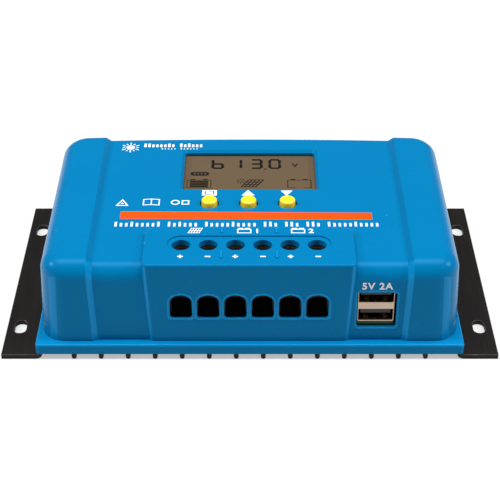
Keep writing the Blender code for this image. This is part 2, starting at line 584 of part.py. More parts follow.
def cap_profile():
    """Radius and height round the cap: a retaining flange, a tapering wall and a rolled top edge."""
    flange, flange_top = BUTTON_RADIUS + CAP_FLANGE, CAP_BOTTOM + CAP_EDGE
    wall = BUTTON_RADIUS - CAP_DRAFT
    return [(0, CAP_BOTTOM), (flange, CAP_BOTTOM), (flange, flange_top), (BUTTON_RADIUS, flange_top),
            (wall, CAP_TOP - CAP_EDGE), (wall - 0.25 * CAP_EDGE, CAP_TOP - 0.35 * CAP_EDGE),
            (wall - 0.85 * CAP_EDGE, CAP_TOP - CAP_CROWN), (0, CAP_TOP)]


def build_screw(name, at, seat, length, head, shank_radius, up=False):
    """A round-headed screw whose head seats at a height, pointing down, or up when it is driven from below.
    head is the head's radius and height."""
    way = 1 if up else -1
    head_radius, head_height = head
    far = seat - way * head_height
    profile = [(0, seat + way * length), (shank_radius, seat + way * length), (shank_radius, seat),
               (head_radius, seat), (head_radius, far + way * 0.25 * head_height),
               (head_radius * 0.8, far), (0, far)]
    screw = make_object(name, turned(profile, at, 14), "steel")
    span, width, depth = CROSS_SPAN * head_radius, CROSS_WIDTH * head_radius, 2 * CROSS_DEPTH * head_height
    for i, (size_x, size_y) in enumerate([(span, width), (width, span)]):
        cut(screw, f"{name}_recess_{i + 1}", centred_box((*at, far), (size_x, size_y, depth)))


# ------------------------------------------------------------------ terminal block

def contact_slot(x, z):
    """The slot that a contact's leg goes through."""
    half = CONTACT_HALF_X + GAP
    back = CONTACT_Y[1]
    return box((x - half, x + half), (back - CONTACT_LEG - GAP, back + GAP), z)


def build_terminal_block():
    block = make_object("terminal_housing", box((POLE_CENTRE - BLOCK_HALF_X, POLE_CENTRE + BLOCK_HALF_X),
                                                BLOCK_Y, (PCB_TOP + GAP, BLOCK_TOP)), "black_plastic")
    cut(block, "housing_cells", merged(box((x - CELL_HALF_X, x + CELL_HALF_X), CELL_Y, CELL_Z) for x in POLE_X))
    funnel_y = (BLOCK_Y[0] - OVERRUN, CELL_Y[0] + OVERRUN)
    funnel_z = (CELL_Z[0] + FUNNEL_RISE, CONTACT_Z[1] + GAP)
    cut(block, "housing_funnels", merged(
        box((x - CELL_HALF_X, x + CELL_HALF_X), funnel_y, funnel_z) for x in POLE_X))
    cut(block, "housing_leg_slots", merged(
        contact_slot(x, (PCB_TOP - OVERRUN, CELL_Z[0] + OVERRUN)) for x in POLE_X))
    cut(block, "housing_head_bores", merged(
        cylinder(HEAD_BORE, CELL_Z[1] - OVERRUN, BLOCK_TOP + OVERRUN, (x, POLE_Y)) for x in POLE_X))
    for i, x in enumerate(POLE_X):
        build_pole(i + 1, x)


def build_pole(number, x):
    """One pole: a screw that turns in place, the cage it draws up, and the fixed contact that the wire is
    held to. The cage's top has a clear square hole where the screw passes."""
    axis = pivot(f"terminal_axis_{number}", (x, POLE_Y, 0.0))
    low, high = CAGE_Z
    cage = make_object(f"clamp_cage_{number}", box(
        (-CAGE_HALF_X, CAGE_HALF_X), (-CAGE_DEPTH / 2, CAGE_DEPTH / 2), (low, high)), "nickel", parent=axis)
    inner, hole = CAGE_HALF_X - CAGE_WALL, SHANK_RADIUS + GAP
    cut(cage, f"cage_window_{number}", box((x - inner, x + inner), (POLE_Y - CAGE_DEPTH, POLE_Y + CAGE_DEPTH),
                                           CAGE_INNER_Z))
    cut(cage, f"cage_hole_{number}", box((x - hole, x + hole), (POLE_Y - hole, POLE_Y + hole),
                                         (CAGE_INNER_Z[0] + OVERRUN, high + OVERRUN)))
    head_low, head_high = HEAD_Z
    tip_inset, tip_rise = TIP_CHAMFER
    profile = [(0, SCREW_TIP), (SHANK_RADIUS - tip_inset, SCREW_TIP), (SHANK_RADIUS, SCREW_TIP + tip_rise),
               (SHANK_RADIUS, head_low), (HEAD_RADIUS, head_low), (HEAD_RADIUS, head_high - HEAD_EDGE),
               (HEAD_RADIUS - HEAD_EDGE, head_high), (0, head_high)]
    screw = make_object(f"terminal_screw_{number}", turned(profile, sides=16), "steel", parent=axis)
    slot_width, slot_height = HEAD_SLOT
    cut(screw, f"screw_slot_{number}",
        centred_box((x, POLE_Y, head_high), (2 * HEAD_RADIUS + OVERRUN, slot_width, slot_height)))
    front, back = CONTACT_Y
    low, top = CONTACT_Z
    leg_end = PCB_BOTTOM - LEAD_STICKS_OUT
    side = [(front, low), (back - CONTACT_LEG, low), (back - CONTACT_LEG, leg_end), (back, leg_end),
            (back, top), (front, top)]
    make_object(f"contact_{number}", prism(side, x - CONTACT_HALF_X, x + CONTACT_HALF_X, "X"), "copper_alloy")


# ------------------------------------------------------------------ USB socket

def build_usb():
    middle = sum(SHELL_X) / 2
    ports = (middle - PORT_HALF_X, middle + PORT_HALF_X)
    shell = make_object("usb_shell", box(SHELL_X, SHELL_Y, SHELL_Z), "nickel")
    cut(shell, "usb_ports", merged(
        box(ports, (SHELL_Y[0] - OVERRUN, PORT_BACK + OVERRUN), (z, z + PORT_HEIGHT)) for z in PORT_Z))
    rear = (PORT_Z[0], PORT_Z[1] + PORT_HEIGHT)
    cut(shell, "usb_rear", box(ports, (PORT_BACK, SHELL_Y[1] + OVERRUN), rear))
    insert_x = (ports[0] + GAP, ports[1] - GAP)
    insert = make_object("usb_insulator", box(insert_x, (PORT_BACK + GAP, SHELL_Y[1] - GAP),
                                              (rear[0] + GAP, rear[1] - GAP)), "black_plastic")
    for i, z in enumerate(PORT_Z):
        tongue_top = z + PORT_HEIGHT - TONGUE_UNDER_TOP
        join(insert, f"usb_tongue_{i + 1}", box((insert_x[0] + TONGUE_SIDE, insert_x[1] - TONGUE_SIDE),
                                                (TONGUE_FRONT, PORT_BACK + OVERRUN),
                                                (tongue_top - TONGUE_THICKNESS, tongue_top)))


# ------------------------------------------------------------------ main board and power stage

def build_main_board():
    board = make_object("main_pcb", box((-PCB_HALF_X, PCB_HALF_X), PCB_Y, (PCB_BOTTOM, PCB_TOP)), "green_board")
    join(board, "usb_tab", box(SHELL_X, (SHELL_Y[0] + GAP, PCB_Y[0] + OVERRUN), (PCB_BOTTOM, PCB_TOP)))
    through = (PCB_BOTTOM - OVERRUN, PCB_TOP + OVERRUN)
    slots = [contact_slot(x, through) for x in POLE_X]
    slots += [cylinder(SUPPORT_NECK + GAP, *through, at, 16) for at in SUPPORTS]
    half_x, half_y = LEAD_PITCH + LEAD_WIDTH, LEAD_THICKNESS / 2 + 2 * GAP
    slots += [box((x - half_x, x + half_x), (LEAD_Y - half_y, LEAD_Y + half_y), through) for x in TRANSISTOR_X]
    cut(board, "main_pcb_slots", merged([*slots, header_slot(through)]))
    chip_middle = (*CHIP_AT, PCB_PARTS + CHIP_SIZE[2] / 2)
    make_object("controller_chip", centred_box(chip_middle, CHIP_SIZE), "black_plastic")


def build_header():
    """The tall pin header between the boards."""
    half_x, half_y, pin = HEADER_HALF_X + OVERRUN, HEADER_DEPTH / 2, HEADER_PIN / 2
    header = make_object("display_header", box((-half_x, half_x), (HEADER_Y - half_y, HEADER_Y + half_y),
                                               (PCB_PARTS, DISPLAY_BOTTOM - GAP)), "black_plastic")
    join(header, "header_pins", box((-HEADER_HALF_X, HEADER_HALF_X), (HEADER_Y - pin, HEADER_Y + pin),
                                    (PCB_BOTTOM - LEAD_STICKS_OUT, DISPLAY_TOP + OVERRUN)))


def build_board_parts():
    """The snap-in supports under the main board, and the tall parts on it."""
    foot, tip = PLATE_TOP + GAP, PCB_TOP + SUPPORT_RISE
    shoulder = PCB_BOTTOM - GAP
    support = [(0, foot), (SUPPORT_RADIUS, foot), (SUPPORT_RADIUS, shoulder), (SUPPORT_NECK, shoulder),
               (SUPPORT_NECK, PCB_PARTS), (SUPPORT_LATCH, PCB_PARTS + GAP), (SUPPORT_TIP, tip), (0, tip)]
    for i, at in enumerate(SUPPORTS):
        make_object(f"board_support_{i + 1}", turned(support, at, 12), "nylon")
    top = PCB_PARTS + CAPACITOR_HEIGHT
    can = [(0, PCB_PARTS), (CAPACITOR_RADIUS, PCB_PARTS), (CAPACITOR_RADIUS, top - CAPACITOR_EDGE),
           (CAPACITOR_RADIUS - CAPACITOR_EDGE, top), (0, top)]
    for i, y in enumerate(CAPACITOR_Y):
        make_object(f"capacitor_{i + 1}", turned(can, (CAPACITOR_X, y)), "black_plastic")
    top = PCB_PARTS + INDUCTOR_HEIGHT
    low_flange, high_flange = PCB_PARTS + INDUCTOR_FLANGE, top - INDUCTOR_FLANGE
    coil = [(0, PCB_PARTS), (INDUCTOR_RADIUS, PCB_PARTS), (INDUCTOR_RADIUS, low_flange),
            (INDUCTOR_WAIST, low_flange + 2 * GAP), (INDUCTOR_WAIST, high_flange - 2 * GAP),
            (INDUCTOR_RADIUS, high_flange), (INDUCTOR_RADIUS, top), (0, top)]
    make_object("usb_inductor", turned(coil, INDUCTOR_AT), "black_plastic")


def build_transistor(number, x, low):
    """A flat power transistor lying on the pad, with three leads bent up through the board."""
    _, length, thickness = TRANSISTOR_SIZE
    z = low + thickness / 2
    middle = (x, TRANSISTOR_FRONT + length / 2, z)
    body = make_object(f"transistor_{number}", centred_box(middle, TRANSISTOR_SIZE), "black_plastic")
    half, root, tip = LEAD_THICKNESS / 2, TRANSISTOR_FRONT + OVERRUN, PCB_TOP + LEAD_STICKS_OUT
    lead = [(root, z - half), (root, z + half), (LEAD_Y + half, z + half), (LEAD_Y + half, tip),
            (LEAD_Y - half, tip), (LEAD_Y - half, z - half)]
    for j in (-1, 0, 1):
        across = x + j * LEAD_PITCH
        join(body, f"lead_{number}_{j + 2}", prism(lead, across - LEAD_WIDTH / 2, across + LEAD_WIDTH / 2, "X"))


def build_power_stage():
    _, length, thickness = TRANSISTOR_SIZE
    pad_low = PLATE_TOP + GAP
    low = pad_low + PAD_THICKNESS + GAP
    bar_low = low + thickness + GAP
    bar_top = bar_low + BAR_THICKNESS
    pad_y = (TRANSISTOR_FRONT - PAD_FRONT_EDGE, TRANSISTOR_FRONT + length + PAD_BACK_EDGE)
    pad = make_object("insulating_pad", box(
        (-BAR_HALF_X, BAR_HALF_X), pad_y, (pad_low, pad_low + PAD_THICKNESS)), "grey_pad")
    bar = make_object("clamp_bar", box((-BAR_HALF_X, BAR_HALF_X), BAR_Y, (bar_low, bar_top)), "steel")
    screws = [(-BAR_SCREW_X, BAR_MIDDLE), (BAR_SCREW_X, BAR_MIDDLE)]
    for piece in (pad, bar):
        cut(piece, f"{piece.name}_holes", merged(
            cylinder(SCREW_HOLE, 0.0, bar_top + OVERRUN, at, 16) for at in screws))
    for i, x in enumerate(TRANSISTOR_X):
        build_transistor(i + 1, x, low)
    for i, at in enumerate(screws):
        build_screw(f"clamp_screw_{i + 1}", at, bar_top + GAP, SCREW_LENGTH, PAN_HEAD, SCREW_SHANK)


def build_cover_screws():
    for i, at in enumerate(corners_of(BOSS_X, BOSS_Y)):
        build_screw(f"cover_screw_{i + 1}", at, FLANGE_THICKNESS - GAP, SCREW_LENGTH, FLAT_HEAD, SCREW_SHANK,
                    up=True)


clear_scene()
build_heatsink()
build_cover()
build_display()
for button_name, button_x in zip(BUTTON_NAMES, BUTTON_X):
    build_button(button_name, button_x)
build_terminal_block()
build_usb()
build_main_board()
build_header()
build_board_parts()
build_power_stage()
build_cover_screws()
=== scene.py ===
"""Looks of the solar charge controller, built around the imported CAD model: a finely meshed moulded cover, the
anodised plate, the display with its segments, printed signs, caps, screws, the double USB socket, and the
materials of everything. Sizes here are millimetres; meshes, lights and the camera are placed in metres.

Frame: origin at the centre of the underside, +X along the length, -Y the wiring side, +Z up.
"""
import json
import math

import bmesh
import bpy
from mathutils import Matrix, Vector


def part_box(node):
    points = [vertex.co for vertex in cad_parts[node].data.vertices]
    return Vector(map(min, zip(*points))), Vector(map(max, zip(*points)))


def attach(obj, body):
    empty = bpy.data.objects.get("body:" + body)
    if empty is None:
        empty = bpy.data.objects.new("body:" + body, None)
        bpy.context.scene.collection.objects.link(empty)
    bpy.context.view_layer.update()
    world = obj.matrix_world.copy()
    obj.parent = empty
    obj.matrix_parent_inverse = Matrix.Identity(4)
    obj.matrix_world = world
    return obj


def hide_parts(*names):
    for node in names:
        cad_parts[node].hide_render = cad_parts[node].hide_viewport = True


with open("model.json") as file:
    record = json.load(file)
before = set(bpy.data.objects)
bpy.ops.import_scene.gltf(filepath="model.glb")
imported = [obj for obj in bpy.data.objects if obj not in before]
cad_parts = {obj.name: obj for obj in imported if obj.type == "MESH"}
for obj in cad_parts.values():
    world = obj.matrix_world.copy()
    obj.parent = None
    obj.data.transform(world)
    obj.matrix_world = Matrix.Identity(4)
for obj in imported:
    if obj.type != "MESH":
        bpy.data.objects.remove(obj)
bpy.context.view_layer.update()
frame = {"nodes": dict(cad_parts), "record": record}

MM = 0.001
OVERRUN = 1.0  # how far a cutter runs past the face it cuts
GAP = 0.3  # clearance between pieces that rest on each other


def extent(node):
    """A CAD node's (low, high) pair along X, Y and Z, in millimetres."""
    low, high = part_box(node)
    return [(round(a / MM, 3), round(b / MM, 3)) for a, b in zip(low, high)]


def middle(pair):
    return (pair[0] + pair[1]) / 2


# Places and sizes taken from the frame
SINK, COVER, GLASS = extent("heatsink"), extent("top_cover"), extent("lcd_glass")
SHELL, TONGUES, BOARD = extent("usb_shell"), extent("usb_insulator"), extent("main_pcb")
POLES = [extent(f"terminal_screw_{i}") for i in range(1, 7)]
POLE_X, POLE_Y = [middle(pole[0]) for pole in POLES], middle(POLES[0][1])
POLE_CENTRE = sum(POLE_X) / len(POLE_X)
BUTTONS = {name: extent(f"{name}_cap") for name in ("menu", "up", "down")}
BUTTON_Y = middle(BUTTONS["up"][1])
HEIGHT = BUTTONS["up"][2][1]
SKIRT_BOTTOM = COVER[2][0]
SKIRT_HALF_X, SKIRT_HALF_Y = COVER[0][1], COVER[1][1]

# Cover: walls, rounding and the lower middle panel
SKIRT_TOP, SKIRT_EDGE, SKIRT_CORNER = 6.5, 0.9, 1.4
BODY_HALF_X, BODY_FRONT, BODY_BACK = 77.3, -48.1, 48.3
SIDE_DRAFT, FRONT_DRAFT, BACK_DRAFT = 1.3, 1.0, 0.2
BODY_CORNER, TOP_ROUND, BACK_ROUND, BACK_BOW = 9.5, 6.5, 5.3, 2.0
PANEL_TOP, PANEL_BACK_ROUND, PANEL_STEP = 38.0, 3.1, 1.0
RAMP_FOOT, RAMP_LEAN, RAMP_RUN, RAMP_SOFTNESS = 56.0, 1.0, 2.0, 0.1
PLATE_TOP, PLATE_HALF_X, PLATE_HALF_Y = 4.5, 77.6, 48.3
CAVITY_HALF_X, CAVITY_FRONT, CAVITY_BACK, CAVITY_TOP = 74.2, -44.7, 44.7, 35.9
CAVITY_ROUND, CAVITY_CORNER = 4.3, 6.5

# Terminal bump
BUMP_HALF_X, BUMP_FRONT, BUMP_BACK, BUMP_DRAFT, BUMP_EDGE = 38.0, -48.0, -22.0, 0.8, 0.9
BUMP_FRONT_CORNER, BUMP_BACK_CORNER, BUMP_CAVITY_TOP, BUMP_WALL, BUMP_ROOM = 2.4, 4.0, 37.1, 2.4, 34.2
BUMP_FLARE = 1.6  # how much wider each side is at its top than at its foot
ENTRY_WIDTH, ENTRY_BOTTOM, ENTRY_TOP, ENTRY_CORNER, ENTRY_LIP, ENTRY_ARCH = 8.1, 17.0, 26.7, 1.3, 0.4, 0.85
RIM_PROFILE = ((1.03, -0.4), (0.97, 0.02), (0.83, 0.14), (0.63, 0.18), (0.43, 0.14), (0.27, 0.02),
               (0.21, -0.4))
ENTRY_FALL = 2.0  # how much lower an entry's floor is at its inner end
WELL_RADIUS, WELL_LIP = 3.35, 0.4
RECESS_RADIUS, RECESS_HALF, RECESS_DEPTH = 5.2, 24.9, 0.5
DIVIDER_X, DIVIDER_WIDTH, DIVIDER_TOP = (-10.35, 9.85), 0.9, COVER[2][1]
DIVIDER_Y = ((-26.6, -22.9), (-42.9, -38.3))

# Window, button holes and USB opening
WINDOW_HALF_X, WINDOW_Y, WINDOW_LIP, WINDOW_CORNER = 26.2, (8.3, 37.2), 1.0, 1.2
BUTTON_HOLE, CAP_RADIUS, CAP_EDGE = 3.65, 3.25, 0.9
USB_X, USB_Z, USB_CORNER, USB_LIP = (39.15, 53.5), (12.2, 27.1), 1.1, 0.6
PORT_HALF, PORT_HEIGHT, PORT_FLOORS, PORT_LIP, PORT_BACK = 6.35, 5.0, (14.4, 22.5), 0.12, -35.3
TONGUE_THICKNESS, TONGUE_UNDER_TOP, SPRING_X = 1.9, 0.8, 3.4

# Heatsink
FLANGE, UNDERCUT, FIN_PITCH, FIN_COUNT, FIN_THICKNESS = 2.0, (76.8, 79.6), 10.0, 14, 1.8
SLOT_WIDTH, SLOT_LENGTH, SLOT_X, SLOT_Y = 4.6, 7.9, 87.0, 33.3

PRINT_HEIGHT = 0.03


# ------------------------------------------------------------------ mesh helpers

def arc(centre, radius, start, end, steps):
    """Points on an arc, angles in degrees, both ends included."""
    angles = [math.radians(start + (end - start) * i / steps) for i in range(steps + 1)]
    return [(centre[0] + radius * math.cos(a), centre[1] + radius * math.sin(a)) for a in angles]


def loft(rows, closed=True):
    """A surface through rows of equally many points, capped at both ends unless it stays open."""
    made = bmesh.new()
    rings = [[made.verts.new(point) for point in row] for row in rows]
    count = len(rings[0])
    for lower, upper in zip(rings, rings[1:]):
        for i in range(count):
            made.faces.new((lower[i], lower[(i + 1) % count], upper[(i + 1) % count], upper[i]))
    if closed:
        made.faces.new(rings[0][::-1])
        made.faces.new(rings[-1])
    return made


def prism(outline, low, high, axis="Z"):
    """An outline pushed along an axis. Its points are (X, Y), (X, Z) or (Y, Z) for Z, Y or X."""
    place = {
        "Z": lambda u, v, w: (u, v, w),
        "Y": lambda u, v, w: (u, w, v),
        "X": lambda u, v, w: (w, u, v),
    }[axis]
    return loft([[place(u, v, w) for u, v in outline] for w in (low, high)])


def block(x, y, z):
    return prism([(x[0], y[0]), (x[1], y[0]), (x[1], y[1]), (x[0], y[1])], z[0], z[1])


def merged(builders):
    """Several bmeshes in one."""
    made = bmesh.new()
    for builder in builders:
        scratch = bpy.data.meshes.new("scratch")
        builder.to_mesh(scratch)
        builder.free()
        made.from_mesh(scratch)
        bpy.data.meshes.remove(scratch)
    return made


def turned(profile, at=(0.0, 0.0), sides=64):
    """A solid turned about a vertical axis from (radius, z) points that start and end on the axis."""
    made = bmesh.new()
    rings = []
    for radius, z in profile:
        if radius == 0:
            rings.append([made.verts.new((at[0], at[1], z))])
            continue
        rings.append([made.verts.new((x, y, z)) for x, y in arc(at, radius, 0, 360, sides)[:-1]])
    for lower, upper in zip(rings, rings[1:]):
        for i in range(sides):
            j = (i + 1) % sides
            corners = [lower[i % len(lower)], lower[j % len(lower)],
                       upper[j % len(upper)], upper[i % len(upper)]]
            made.faces.new(list(dict.fromkeys(corners)))
    return made


def rounded_rectangle(x, y, front, back, steps=8):
    """An outline running anticlockwise from its front left corner, with its corner radii."""
    points = arc((x[0] + front, y[0] + front), front, 180, 270, steps)
    points += arc((x[1] - front, y[0] + front), front, 270, 360, steps)
    points += arc((x[1] - back, y[1] - back), back, 0, 90, steps)
    points += arc((x[0] + back, y[1] - back), back, 90, 180, steps)
    return points


def edge_steps(top, radius, steps=5):
    """(z, inset) pairs up a quarter-round edge that ends in a flat top."""
    angles = [math.radians(90 * i / steps) for i in range(steps + 1)]
    return [(top - radius * (1 - math.sin(a)), radius * (1 - math.cos(a))) for a in angles]


def new_object(name, builder, finish=None, smooth=32):
    """An object from a bmesh in millimetres."""
    bmesh.ops.recalc_face_normals(builder, faces=builder.faces)
    bmesh.ops.scale(builder, vec=(MM, MM, MM), verts=builder.verts)
    mesh = bpy.data.meshes.new(name)
    builder.to_mesh(mesh)
    builder.free()
    made = bpy.data.objects.new(name, mesh)
    bpy.context.scene.collection.objects.link(made)
    if finish:
        mesh.materials.append(finish)
    if smooth:
        mesh.shade_smooth()
        mesh.set_sharp_from_angle(angle=math.radians(smooth))
    return made


def bake_modifiers(obj):
    """Puts the modifiers' result in the object's own mesh."""
    graph = bpy.context.evaluated_depsgraph_get()
    obj.data = bpy.data.meshes.new_from_object(obj.evaluated_get(graph))
    obj.modifiers.clear()


SMOOTH_ANGLE = 32  # degrees; the cover's sharper edges stay crisp


def carve(obj, changes):
    """Booleans in order: each change is an operation and the bmesh it works with."""
    helpers = []
    for operation, builder in changes:
        helper = new_object("helper", builder, smooth=0)
        modifier = obj.modifiers.new("carve", "BOOLEAN")
        modifier.operation, modifier.object, modifier.solver = operation, helper, "EXACT"
        helpers.append(helper)
    bake_modifiers(obj)
    for helper in helpers:
        bpy.data.objects.remove(helper, do_unlink=True)
    obj.data.shade_smooth()
    obj.data.set_sharp_from_angle(angle=math.radians(SMOOTH_ANGLE))


def soften(obj, width, segments=2, angle=40, weld=False):
    """Rounds the hard edges a little, so that they catch the light."""
    if weld:
        obj.modifiers.new("weld", "WELD").merge_threshold = 0.002 * MM
    bevel = obj.modifiers.new("soft edges", "BEVEL")
    bevel.width, bevel.segments = width * MM, segments
    bevel.limit_method, bevel.angle_limit = "ANGLE", math.radians(angle)
    bevel.miter_outer = "MITER_ARC"
    obj.modifiers.new("even shading", "WEIGHTED_NORMAL").keep_sharp = True


def place(obj, body, slot, *nodes):
    """Rides on a body and stands for CAD nodes, which it hides; slot, a material slot of the record, is not
    used.
    """
    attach(obj, body)
    if nodes:
        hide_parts(*nodes)
    return obj


# ------------------------------------------------------------------ materials

def node(tree, kind, **settings):
    made = tree.nodes.new(kind)
    for key, value in settings.items():
        if key in made.inputs:
            made.inputs[key].default_value = value
        else:
            setattr(made, key, value)
    return made


def shade(colour, factor):
    return tuple(min(1.0, channel * factor) for channel in colour) + (1.0,)


ROUGHNESS_SPREAD = 0.06  # how far a material's roughness drifts either way


def finish(name, colour, roughness, metallic=0.0, specular=0.5, tint=0.05, patches=35.0, grain=1500.0,
           depth=0.02, stretch=(1.0, 1.0, 1.0), specks=None, coat=0.0, sheen=None,
           glow=0.0):
    """A Principled material whose colour and roughness drift in broad patches and fine grain, with a grain
    bump. specks is (colour, radius) for small light dust marks. stretch squeezes the grain along an axis.
    sheen is the colour of what shines back, and glow is a white light of its own."""
    made = bpy.data.materials.new(name)
    made.use_nodes = True
    made.diffuse_color = (*colour, 1.0)
    tree = made.node_tree
    link = tree.links.new
    shader = tree.nodes["Principled BSDF"]
    shader.inputs["Metallic"].default_value = metallic
    shader.inputs["Specular IOR Level"].default_value = specular
    shader.inputs["Emission Color"].default_value = (1.0, 1.0, 1.0, 1.0)
    shader.inputs["Emission Strength"].default_value = glow
    if sheen:
        shader.inputs["Specular Tint"].default_value = (*sheen, 1.0)
    shader.inputs["Coat Weight"].default_value = coat
    shader.inputs["Coat Roughness"].default_value = 0.12
    place_node = node(tree, "ShaderNodeTexCoord")
    mapping = node(tree, "ShaderNodeMapping")
    mapping.inputs["Scale"].default_value = stretch
    link(place_node.outputs["Object"], mapping.inputs["Vector"])
    broad = node(tree, "ShaderNodeTexNoise", Scale=patches, Detail=4.0, Roughness=0.6)
    fine = node(tree, "ShaderNodeTexNoise", Scale=grain, Detail=3.0, Roughness=0.55)
    for texture in (broad, fine):
        link(mapping.outputs["Vector"], texture.inputs["Vector"])
    both = node(tree, "ShaderNodeMath", operation="MULTIPLY_ADD")
    both.inputs[1].default_value = 0.45
    link(fine.outputs["Fac"], both.inputs[0])
    scaled = node(tree, "ShaderNodeMath", operation="MULTIPLY")
    scaled.inputs[1].default_value = 0.55
    link(broad.outputs["Fac"], scaled.inputs[0])
    link(scaled.outputs[0], both.inputs[2])
    ramp = node(tree, "ShaderNodeValToRGB")
    ramp.color_ramp.elements[0].position, ramp.color_ramp.elements[1].position = 0.32, 0.68
    ramp.color_ramp.elements[0].color = shade(colour, 1 - tint)
    ramp.color_ramp.elements[1].color = shade(colour, 1 + tint)
    link(both.outputs[0], ramp.inputs["Fac"])
    base = ramp.outputs["Color"]
    if specks:
        speck_colour, radius = specks
        dust = node(tree, "ShaderNodeTexVoronoi", Scale=210.0, Randomness=1.0)
        link(place_node.outputs["Object"], dust.inputs["Vector"])
        near = node(tree, "ShaderNodeMapRange")
        near.inputs["From Min"].default_value, near.inputs["From Max"].default_value = radius, radius * 0.4
        link(dust.outputs["Distance"], near.inputs["Value"])
        chosen = node(tree, "ShaderNodeMath", operation="GREATER_THAN")
        chosen.inputs[1].default_value = 0.86
        split = node(tree, "ShaderNodeSeparateColor")
        link(dust.outputs["Color"], split.inputs["Color"])
        link(split.outputs["Red"], chosen.inputs[0])
        amount = node(tree, "ShaderNodeMath", operation="MULTIPLY")
        link(near.outputs["Result"], amount.inputs[0])
        link(chosen.outputs[0], amount.inputs[1])
        mix = node(tree, "ShaderNodeMix", data_type="RGBA")
        mix.inputs["B"].default_value = (*speck_colour, 1.0)
        link(amount.outputs[0], mix.inputs["Factor"])
        link(base, mix.inputs["A"])
        base = mix.outputs["Result"]
    link(base, shader.inputs["Base Color"])
    spread = node(tree, "ShaderNodeMapRange")
    spread.inputs["To Min"].default_value = max(0.02, roughness - ROUGHNESS_SPREAD)
    spread.inputs["To Max"].default_value = min(1.0, roughness + ROUGHNESS_SPREAD)
    link(both.outputs[0], spread.inputs["Value"])
    link(spread.outputs["Result"], shader.inputs["Roughness"])
    bump = node(tree, "ShaderNodeBump", Strength=0.5, Distance=depth * MM)
    link(fine.outputs["Fac"], bump.inputs["Height"])
    link(bump.outputs["Normal"], shader.inputs["Normal"])
    return made


BLUE = finish("moulded blue", (0.0002, 0.153, 0.352), 0.27, specular=0.18, tint=0.035, patches=28, grain=2600,
              depth=0.035, specks=((0.25, 0.6, 0.85), 0.05), sheen=(0.15, 0.55, 1.0))
# A paler blue for the cover's narrow edges and opening rims: painted highlight for the light they catch; the
# moulding itself is most likely one blue.
BLUE_PAINTED_HIGHLIGHT = finish("moulded blue, painted highlight", (0.0003, 0.205, 0.468), 0.24, specular=0.25, tint=0.035, patches=28,
                   grain=2600, depth=0.02, sheen=(0.3, 0.7, 1.0))
ANODISED = finish("black anodised", (0.0125, 0.0105, 0.0095), 0.5, specular=0.15, tint=0.3, patches=60,
                  grain=900, depth=0.03, stretch=(1, 0.06, 1), specks=((0.2, 0.18, 0.16), 0.035))
# Lighter warm brown for the heatsink's bevelled edges: rubbed edges, and painted highlight along them.
WORN_EDGE_AND_HIGHLIGHT = finish("rubbed edge, painted highlight", (0.10, 0.075, 0.06), 0.4, 0.3, 0.4, 0.3, 300, 1800, 0.02)
YELLOW = finish("yellow cap", (1.0, 0.70, 0.022), 0.3, specular=0.35, tint=0.02, grain=900, depth=0.01,
                coat=0.2)
LCD = finish("display face", (0.110, 0.076, 0.044), 0.3, specular=0.2, tint=0.05, patches=50, grain=3200,
             depth=0.004)
SEGMENT = finish("display segments", (0.008, 0.007, 0.006), 0.4, specular=0.15, tint=0.2, grain=2500,
                 depth=0.004)
SEGMENT_FAINT = finish("faint display marks", (0.018, 0.014, 0.010), 0.4, specular=0.15, tint=0.2,
                       depth=0.004)
WHITE_PRINT = finish("white print", (0.78, 0.78, 0.77), 0.5, specular=0.2, tint=0.05, patches=300, grain=3500)
ORANGE_PRINT = finish("orange print", (0.74, 0.074, 0.005), 0.45, specular=0.15, tint=0.05, patches=40,
                      grain=2600, depth=0.03, specks=((1.0, 0.5, 0.3), 0.04), sheen=(1.0, 0.4, 0.1))
NICKEL = finish("nickel", (0.47, 0.36, 0.27), 0.34, 1.0, 0.5, 0.12, 120, 1200, 0.03, (0.15, 1, 1))
STEEL = finish("zinc plated steel", (0.42, 0.38, 0.33), 0.38, 1.0, 0.5, 0.15, 200, 1500, 0.03)
COPPER = finish("tinned brass", (0.55, 0.40, 0.22), 0.36, 1.0, 0.5, 0.12, 160, 1400, 0.02)
GOLD = finish("gilt contacts", (0.85, 0.60, 0.26), 0.28, 1.0, 0.5, 0.1, 200, 1400, 0.01)
BLACK = finish("black moulding", (0.008, 0.008, 0.009), 0.5, specular=0.4, tint=0.25, patches=80, grain=1800)
TONGUE_BLACK = finish("dark grey tongue", (0.028, 0.029, 0.032), 0.45, specular=0.4, tint=0.2, patches=120,
                      grain=1600)
BOARD_GREEN = finish("solder mask", (0.004, 0.070, 0.022), 0.35, specular=0.5, tint=0.18, patches=140,
                     grain=900)
FRAME_WHITE = finish("white moulding", (0.74, 0.73, 0.70), 0.5, specular=0.4, tint=0.05)
PAD = finish("silicone pad", (0.33, 0.34, 0.35), 0.85, specular=0.3, tint=0.08, patches=200, grain=2400)
NYLON = finish("nylon", (0.78, 0.76, 0.70), 0.48, specular=0.4, tint=0.05)
FLOOR = finish("light table", (0.40, 0.40, 0.40), 0.9, specular=0.0, tint=0.004, patches=3, grain=90,
               depth=0.0, glow=0.46)

SLOT_FINISHES = {
    "blue_abs": BLUE, "black_anodised": ANODISED, "yellow_cap": YELLOW, "lcd_glass": LCD,
    "white_frame": FRAME_WHITE, "green_board": BOARD_GREEN, "black_plastic": BLACK, "nickel": NICKEL,
    "steel": STEEL, "copper_alloy": COPPER, "grey_pad": PAD, "nylon": NYLON,
}


# ------------------------------------------------------------------ cover

def height_share(z):
    """How far up the walls a height is, from 0 at the skirt to 1 at the top."""
    return (z - SKIRT_TOP) / (HEIGHT - SKIRT_TOP)


def ramp_share(t):
    """How far up from the middle panel to a wing: a straight ramp over t from 0 to 1 with rounded ends."""
    soft = RAMP_SOFTNESS
    if t <= -soft:
        return 0.0
    if t < soft:
        return (t + soft) ** 2 / (4 * soft)
    if t <= 1 - soft:
        return t
    if t < 1 + soft:
        return 1 - (1 + soft - t) ** 2 / (4 * soft)
    return 1.0


def ramp_foot(z):
    """Where the ramp starts beside the middle panel, leaning out a little with height."""
    return RAMP_FOOT + RAMP_LEAN * min(1.0, max(0.0, (z - SKIRT_TOP) / (PANEL_TOP - TOP_ROUND - SKIRT_TOP)))


